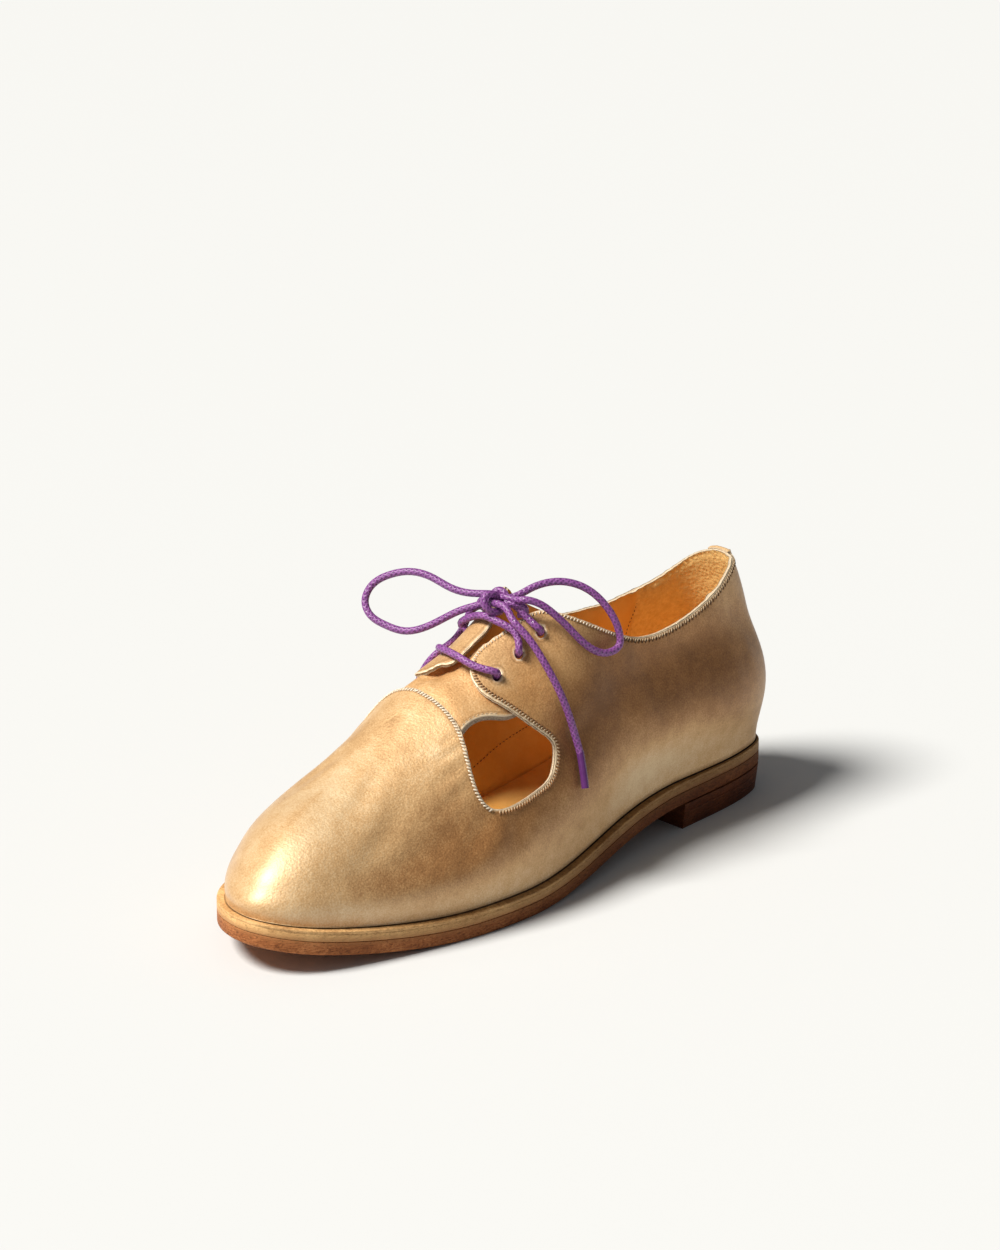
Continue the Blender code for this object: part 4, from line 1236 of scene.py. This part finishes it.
def edgeStitches():
    made = []
    vamp = ("vamp_stitches", "edgeInset", (0.632, 0.0), (0.594, 0.665), paleThread, "bold")
    rows = {"outer": [vamp], "inner": [vamp]}
    for label, word, first, final, thread, holes in (
            ("outer", "edge", (0.585, 0.69), (0.553, 0.125), tanThread, "holes"),
            ("outer", "facing", (0.553, 0.125), (0.380, 0.57), paleThread, None),
            ("outer", "collar", (0.380, 0.57), (0.0, 0.51), tanThread, "teeth"),
            ("inner", "window", (0.585, 0.69), (0.562, 0.34), tanThread, "holes"),
            ("inner", "collar", (0.452, 0.16), (0.0, 0.51), tanThread, "holes")):
        rows[label].append((word + "_stitches", "edgeInset", first, final, thread, "fine"))
        if holes:
            shade = needleHole if holes == "teeth" else brownThread
            rows[label].append((word + "_needle_holes", "holeInset", first, final, shade, holes))
    for label, cut, sign in (("outer", outerCut, 1.0), ("inner", innerCut[::-1], -1.0)):
        for part, inset, first, final, thread, kind in rows[label]:
            row = insetPath(cut, -stitchSet[inset] * sign)
            path = pathBetween(row, np.array(first) * (1.0, sign), np.array(final) * (1.0, sign))
            points, ups = onSkin(path, stitchSet["lift"])
            name = label + "_" + part
            made.append(stitchRow(name, points, ups, thread, "upper_leather", **stitchSet[kind]))
    return made


liningSeams = (  # turn, drop along the seams on the inside of the wall
    ("counter_seam", ((0.222, 0.600), (0.216, 0.690), (0.223, 0.750), (0.226, 0.830), (0.228, 0.930))),
    ("lining_seam", ((0.300, 0.905), (0.350, 0.893), (0.396, 0.888), (0.434, 0.887), (0.466, 0.902),
                     (0.520, 0.925))),
)


def liningStitches():
    made = []
    for label, places in liningSeams:
        for side, word in ((1.0, "outer"), (-1.0, "inner")):
            path = route(np.array(places) * (1.0, side) * flatSpan, stitchSet["seamStep"]) / flatSpan
            highest = collarDrop(path[:, 0], side > 0.0) + stitchSet["seamBelowCollar"]
            path = path[np.abs(path[:, 1]) > highest]
            points = skin(*path.T, last["wall"] + stitchSet["insideSink"])
            ups = -lastNormal(*path.T)
            made.append(stitchRow(word + "_" + label, points, ups, brownThread, "lining_leather",
                                  **stitchSet["inside"]))
    return made


def tongueStitches():
    made = []
    row = insetPath(smoothEdge(tongueFront + outerTongueEnd), stitchSet["edgeInset"])
    for side, word in ((1.0, "outer"), (-1.0, "inner")):
        path = pathBetween(row, np.array([0.600, 0.33]), np.array([0.556, 0.395])) * (1.0, side)
        turn, drop = path.T
        points = skin(turn, drop, tongueDepth(turn, drop))
        made.append(stitchRow(word + "_tongue_stitches", points, lastNormal(turn, drop), tanThread,
                              "tongue_leather", **stitchSet["plain"]))
    return made


stitchRows = edgeStitches() + liningStitches() + tongueStitches()
print("stitches made:", [len(row.data.polygons) for row in stitchRows])


# Lace: bars through the holes, two free cords tied in a bow, and their tips
knotCentre = np.array([0.0010, 0.0047, 0.1052])


def fromView(right, up, back):  # millimetres from the knot's middle, as the camera sees it
    return tuple(knotCentre + (viewRight * right + viewUp * up + viewBack * back) * 0.001)


def holePlace(place, lift):
    turn, drop = np.array([place[0]]), np.array([place[1]])
    return tuple((lastPoint(turn, drop) + lastNormal(turn, drop) * lift)[0] - shift)


lowerBar = (holePlace(outerHoles[0], -0.0022), holePlace(outerHoles[0], 0.0003), (0.0158, -0.0133, 0.0853),
            (0.0112, -0.0172, 0.0869), (0.0024, -0.0192, 0.0890), (-0.0082, -0.0182, 0.0894),
            (-0.0126, -0.0153, 0.0876), holePlace(innerHoles[0], -0.0008), holePlace(innerHoles[0], -0.0032))
middleBar = (holePlace(outerHoles[1], -0.0022), holePlace(outerHoles[1], 0.0003), (0.0158, -0.0020, 0.0908),
             (0.0143, -0.0008, 0.0938), (0.0105, -0.0003, 0.0972), (0.0058, -0.0016, 0.0989),
             (-0.0028, -0.0027, 0.0999), (-0.0094, -0.0033, 0.0974), (-0.0135, -0.0034, 0.0934),
             holePlace(innerHoles[1], 0.0003), holePlace(innerHoles[1], -0.0022))
nearCord = (holePlace(outerHoles[2], -0.0022), holePlace(outerHoles[2], 0.0002),
            (0.0158, 0.0090, 0.0962), (0.0118, 0.0074, 0.0994), (0.0066, 0.0061, 0.1034),
            (0.0015, 0.0050, 0.1048), (0.0004, 0.0036, 0.1062), (0.0034, 0.0040, 0.1070),
            (0.0069, 0.0049, 0.1067), (0.0101, 0.0055, 0.1075), (0.0143, 0.0093, 0.1063),
            (0.0183, 0.0136, 0.1020), (0.0222, 0.0182, 0.0958), (0.0255, 0.0221, 0.0902),
            (0.0276, 0.0275, 0.0858), (0.0281, 0.0330, 0.0842), (0.0281, 0.0384, 0.0857),
            (0.0272, 0.0389, 0.0912), (0.0240, 0.0369, 0.0989), (0.0183, 0.0325, 0.1062),
            (0.0111, 0.0239, 0.1102), (0.0054, 0.0139, 0.1084), (0.0035, 0.0099, 0.1065),
            (0.0012, 0.0060, 0.1056), fromView(-3.2, 0.4, 1.2), fromView(-4.9, -0.6, 2.0),
            fromView(-3.6, -1.3, 3.6), fromView(-1.3, -1.8, 5.6), fromView(1.6, -4.4, 8.2),
            (0.0108, -0.0014, 0.1028), (0.0175, -0.0006, 0.0976), (0.0241, 0.0012, 0.0899),
            (0.0289, 0.0032, 0.0816), (0.0324, 0.0055, 0.0724), (0.0348, 0.0079, 0.0616),
            (0.0371, 0.0090, 0.0530))
nearTip = ((0.0369, 0.00905, 0.0536), (0.0399, 0.0082, 0.0446), (0.0412, 0.0076, 0.0407))
farCord = (holePlace(innerHoles[2], -0.0022), holePlace(innerHoles[2], 0.0002),
           (-0.0140, 0.0069, 0.0989), (-0.0096, 0.0070, 0.1027), (-0.0046, 0.0065, 0.1044),
           (-0.0004, 0.0056, 0.1050), (0.0006, 0.0042, 0.1062), (-0.0018, 0.0035, 0.1067),
           (-0.0049, 0.0032, 0.1064), (-0.0131, 0.0000, 0.1054), (-0.0204, -0.0026, 0.1063),
           (-0.0292, -0.0045, 0.1088), (-0.0371, -0.0074, 0.1094), (-0.0438, -0.0113, 0.1074),
           (-0.0488, -0.0160, 0.1031), (-0.0490, -0.0194, 0.0975), (-0.0453, -0.0204, 0.0934),
           (-0.0384, -0.0191, 0.0908), (-0.0303, -0.0165, 0.0899), (-0.0206, -0.0102, 0.0941),
           (-0.0135, -0.0046, 0.0993), (-0.0043, 0.0014, 0.1036), (0.0000, 0.0026, 0.1042),
           (0.0012, 0.0022, 0.1024), (-0.0025, 0.0017, 0.1005), (-0.0076, 0.0029, 0.1009),
           (-0.0129, 0.0021, 0.0985), (-0.0156, 0.0000, 0.0917), (-0.0169, -0.0042, 0.0865),
           (-0.0180, -0.0090, 0.0840), (-0.0197, -0.0127, 0.0809), (-0.0226, -0.0147, 0.0753),
           (-0.0252, -0.0154, 0.0680), (-0.0269, -0.0147, 0.0602), (-0.0279, -0.0142, 0.0544))
farTip = ((-0.0278, -0.0143, 0.0550), (-0.0294, -0.0132, 0.0463), (-0.0305, -0.0127, 0.0426))
knotTurns = (
    (fromView(-1.6, 0.4, 0.4), fromView(-3.2, 1.7, 2.2), fromView(-5.0, 2.2, 3.8), fromView(-6.8, 1.5, 4.8),
     fromView(-7.5, -0.3, 5.2), fromView(-7.0, -2.2, 5.2), fromView(-5.8, -3.7, 4.6),
     fromView(-4.0, -4.6, 3.4), fromView(-2.2, -4.6, 1.8), fromView(-0.8, -3.6, 0.2)),
    (fromView(-3.9, 1.4, -1.2), fromView(-3.4, 2.9, -0.6), fromView(-1.6, 3.6, 0.2), fromView(0.0, 2.7, 1.0),
     fromView(0.8, 1.1, 1.6), fromView(1.4, -0.6, 1.2)),
    (fromView(0.6, -1.0, 2.2), fromView(2.4, -1.4, 3.4), fromView(4.6, -1.7, 3.8),
     fromView(6.8, -2.4, 3.4), fromView(7.9, -3.8, 2.6), fromView(7.3, -5.2, 1.4),
     fromView(5.4, -5.4, 0.4)),
)
cordSet = {"step": 0.0009, "sides": 14, "tipRadius": 0.00145}


def tube(line, radius, sides):
    tangent = unit(np.gradient(line, axis=0))
    side = np.cross(tangent[0], (0.0, 0.0, 1.0))
    side /= np.linalg.norm(side)
    angle = np.linspace(0.0, 2.0 * np.pi, sides, endpoint=False)
    rings = []
    for place, ahead in zip(line, tangent):
        side = side - ahead * (side @ ahead)
        side /= np.linalg.norm(side)
        other = np.cross(ahead, side)
        rings.append(place + radius * (np.cos(angle)[:, None] * side + np.sin(angle)[:, None] * other))
    return np.concatenate(rings)


def cordPiece(name, routes, radius, finish):
    points = []
    faces = []
    maps = []
    lines = []
    sides = cordSet["sides"]
    total = 0
    for points0 in routes:
        line = route(points0, cordSet["step"]) + shift
        lines.append(line)
        walked = walk(line)
        ring = tube(line, radius, sides)
        points.append(ring)
        for i in range(len(line) - 1):
            for k in range(sides):
                j = (k + 1) % sides
                low, high = total + i * sides, total + (i + 1) * sides
                faces.append((low + k, low + j, high + j, high + k))
                maps += [(k / sides, walked[i]), ((k + 1) / sides, walked[i]),
                         ((k + 1) / sides, walked[i + 1]), (k / sides, walked[i + 1])]
        for start, flip in ((total, True), (total + (len(line) - 1) * sides, False)):
            cap = tuple(range(start, start + sides))
            faces.append(cap[::-1] if flip else cap)
            maps += [(0.5, 0.0)] * sides
        total += len(ring)
    data = bpy.data.meshes.new(name)
    data.from_pydata([tuple(p) for p in np.concatenate(points)], [], faces)
    layer = data.uv_layers.new(name="cordMap")
    layer.data.foreach_set("uv", np.asarray(maps, np.float32).ravel())
    data.materials.append(finish)
    data.shade_smooth()
    data.set_sharp_from_angle(angle=1.0)
    return addObject(name, data), lines[0]


def pathLength(line):
    return float(np.linalg.norm(np.diff(line, axis=0), axis=1).sum())


def makeLace():
    made = []
    for name, points0, nodeName in (("lower_lace_bar", lowerBar, "lace_bar_lower"),
                                    ("middle_lace_bar", middleBar, "lace_bar_middle")):
        piece, line = cordPiece(name, (points0,), lace["radius"], laceCord)
        settle(piece, "lace_cord", nodeName)
        made.append(piece)
    knot, line = cordPiece("lace_knot_dressed", knotTurns, lace["radius"], laceCord)
    settle(knot, "lace_cord", "lace_knot")
    for label, points0, tipRoute, extra in (("near", nearCord, nearTip, (knot,)),
                                            ("far", farCord, farTip, ())):
        end, line = cordPiece(label + "_lace_tip", (tipRoute,), cordSet["tipRadius"], tipPlastic)
        settle(end, "lace_tip", "lace_tip_" + label)
        piece, line = cordPiece(label + "_lace", (points0,), lace["radius"], laceCord)
        settle(piece, "lace_cord", "lace_top_" + label, "lace_loop_" + label, "lace_end_" + label)
        made += [end, piece]
        print("lace", label, round(pathLength(line), 4))
    return made + [knot]


lacePieces = makeLace()
print("lace made:", len(lacePieces), "pieces")

# Back strip: a short leather tab on the outside, its top edge laid over the collar at the heel
stripSet = {"centre": 0.016, "halfTurn": 0.040, "length": 0.100, "thickness": 0.0009, "columns": 33,
            "rows": 22, "rimRows": (1.15, 2.0, 7), "overRim": 1.45, "rimRise": 0.0002, "cornerRound": 0.35,
            "blendTurn": 0.006, "thinEdge": 0.6, "edgeFade": 0.12, "underGap": 0.00002,
            "stitchInset": 0.80, "stitchFoot": 0.10, "sharpAngle": 0.9}


def stripPlaces(columns, rows, lift):
    across = stripSet["centre"] + columns * stripSet["halfTurn"]
    turn = np.abs(across)
    side = np.where(across >= 0.0, 1.0, -1.0)
    shorter = 1.0 - stripSet["cornerRound"] * np.abs(columns) ** 3
    drop = collarDrop(turn, across >= 0.0) + stripSet["length"] * shorter * np.clip(1.0 - rows, 0.0, 1.0)
    angle = stripSet["overRim"] * np.clip(rows - 1.0, 0.0, 1.0)
    place = lastPoint(turn, side * drop)
    nearSeam = 1.0 - np.clip(turn / stripSet["blendTurn"], 0.0, 1.0)
    middle = 0.5 * nearSeam[..., None]  # one normal where the halves meet
    normal = unit(lastNormal(turn, side * drop) * (1.0 - middle) + lastNormal(turn, -side * drop) * middle)
    upward = unit(np.array([0.0, 0.0, 1.0]) - normal * normal[..., 2:])
    out = np.cos(angle)[..., None] * normal + np.sin(angle)[..., None] * upward
    beside = np.cos(angle) * (last["wall"] / 2.0 + lift) - last["wall"] / 2.0
    above = np.sin(angle) * (stripSet["rimRise"] + lift)
    return place + normal * beside[..., None] + upward * above[..., None], out


def makeStrip():
    levels = np.concatenate([np.linspace(0.0, 1.0, stripSet["rows"]), np.linspace(*stripSet["rimRows"])])
    columns, rows = np.meshgrid(np.linspace(-1.0, 1.0, stripSet["columns"]), levels)
    edge = np.minimum(np.minimum(1.0 - np.abs(columns), 2.0 * rows), 2.0 * (2.0 - rows))
    thin = stripSet["thinEdge"]
    top = stripSet["thickness"] * (thin + (1.0 - thin) * ease(edge / stripSet["edgeFade"]))
    under = stripPlaces(columns, rows, np.full(columns.shape, stripSet["underGap"]))[0].reshape(-1, 3)
    over = stripPlaces(columns, rows, top)[0].reshape(-1, 3)
    wide = stripSet["columns"]
    count = len(under)
    faces = []
    slots = []
    for i in range(len(levels) - 1):
        for k in range(wide - 1):
            a = i * wide + k
            faces.append((a, a + wide, a + wide + 1, a + 1))
            faces.append((a + count, a + 1 + count, a + wide + 1 + count, a + wide + count))
            slots += [0, 0]
    border = list(range(wide)) + [i * wide + wide - 1 for i in range(1, len(levels))]
    border += [(len(levels) - 1) * wide + k for k in range(wide - 2, -1, -1)]
    border += [i * wide for i in range(len(levels) - 2, 0, -1)]
    for a, b in zip(border, border[1:] + border[:1]):
        faces.append((a, b, b + count, a + count))
        slots.append(1)
    plain = np.zeros(2 * count)
    floats = {"toneAndPaintedLight": plain, "edgeDistance": plain + 1.0, "warmth": plain}
    piece = addPiece("back_strip", np.concatenate([under, over]), faces, (stripLeather, rawEdge), slots,
                     floats, sharpAngle=stripSet["sharpAngle"])
    settle(piece, "upper_leather")
    inset = stripSet["stitchInset"]
    path = [(-inset, row) for row in np.linspace(1.0, 0.16, 14)]
    path += [(column, stripSet["stitchFoot"]) for column in np.linspace(-0.7, 0.7, 15)]
    path += [(inset, row) for row in np.linspace(0.16, 1.0, 14)]
    path = np.array(path)
    places, ups = stripPlaces(*path.T, np.full(len(path), stripSet["thickness"]))
    stitchRow("back_strip_stitches", places, ups, tanThread, "upper_leather", **stitchSet["strip"])
    return piece


backStrip = makeStrip()
print("back strip made:", len(backStrip.data.polygons), "faces")

# Floor and soft studio light
studio = {"floorColour": (0.685, 0.70, 0.712), "floorReach": 9.0, "keyFrom": (-0.25, -0.53, 0.81),
          "keyColour": (1.0, 0.965, 0.90), "keyPower": 5.0, "keyAngle": 0.38, "worldLight": 0.15,
          "worldColour": (0.97, 0.985, 1.0, 1.0), "skyLight": 0.93, "skyColour": (1.0, 1.0, 0.985, 1.0)}


def makeStudio():
    data = bpy.data.meshes.new("floor")
    far = studio["floorReach"]
    corners = [(-far, -far, 0.0), (far, -far, 0.0), (far, far, 0.0), (-far, far, 0.0)]
    data.from_pydata(corners, [], [(0, 1, 2, 3)])
    finish, tree, shader = material("floor")
    connect(tree, shader, colour=studio["floorColour"], rough=0.7)
    data.materials.append(finish)
    floor = addObject("floor", data)
    world = bpy.data.worlds.new("studio")
    world.use_nodes = True
    tree = world.node_tree
    glow = tree.nodes["Background"]
    glow.inputs["Color"].default_value = studio["worldColour"]
    glow.inputs["Strength"].default_value = studio["worldLight"]
    sky = node(tree, "ShaderNodeBackground", {"Color": studio["skyColour"], "Strength": studio["skyLight"]})
    seen = node(tree, "ShaderNodeLightPath").outputs["Is Camera Ray"]
    both = node(tree, "ShaderNodeMixShader", {0: seen, 1: glow.outputs[0], 2: sky.outputs[0]})
    tree.links.new(both.outputs[0], tree.nodes["World Output"].inputs["Surface"])
    bpy.context.scene.world = world
    lamp = bpy.data.lights.new("key", "SUN")
    lamp.energy = studio["keyPower"]
    lamp.angle = studio["keyAngle"]
    lamp.color = studio["keyColour"]
    key = addObject("key", lamp)
    key.rotation_euler = Vector(studio["keyFrom"]).to_track_quat("Z", "Y").to_euler()


makeStudio()
bpy.context.scene.view_settings.view_transform = "Standard"
print("studio made")
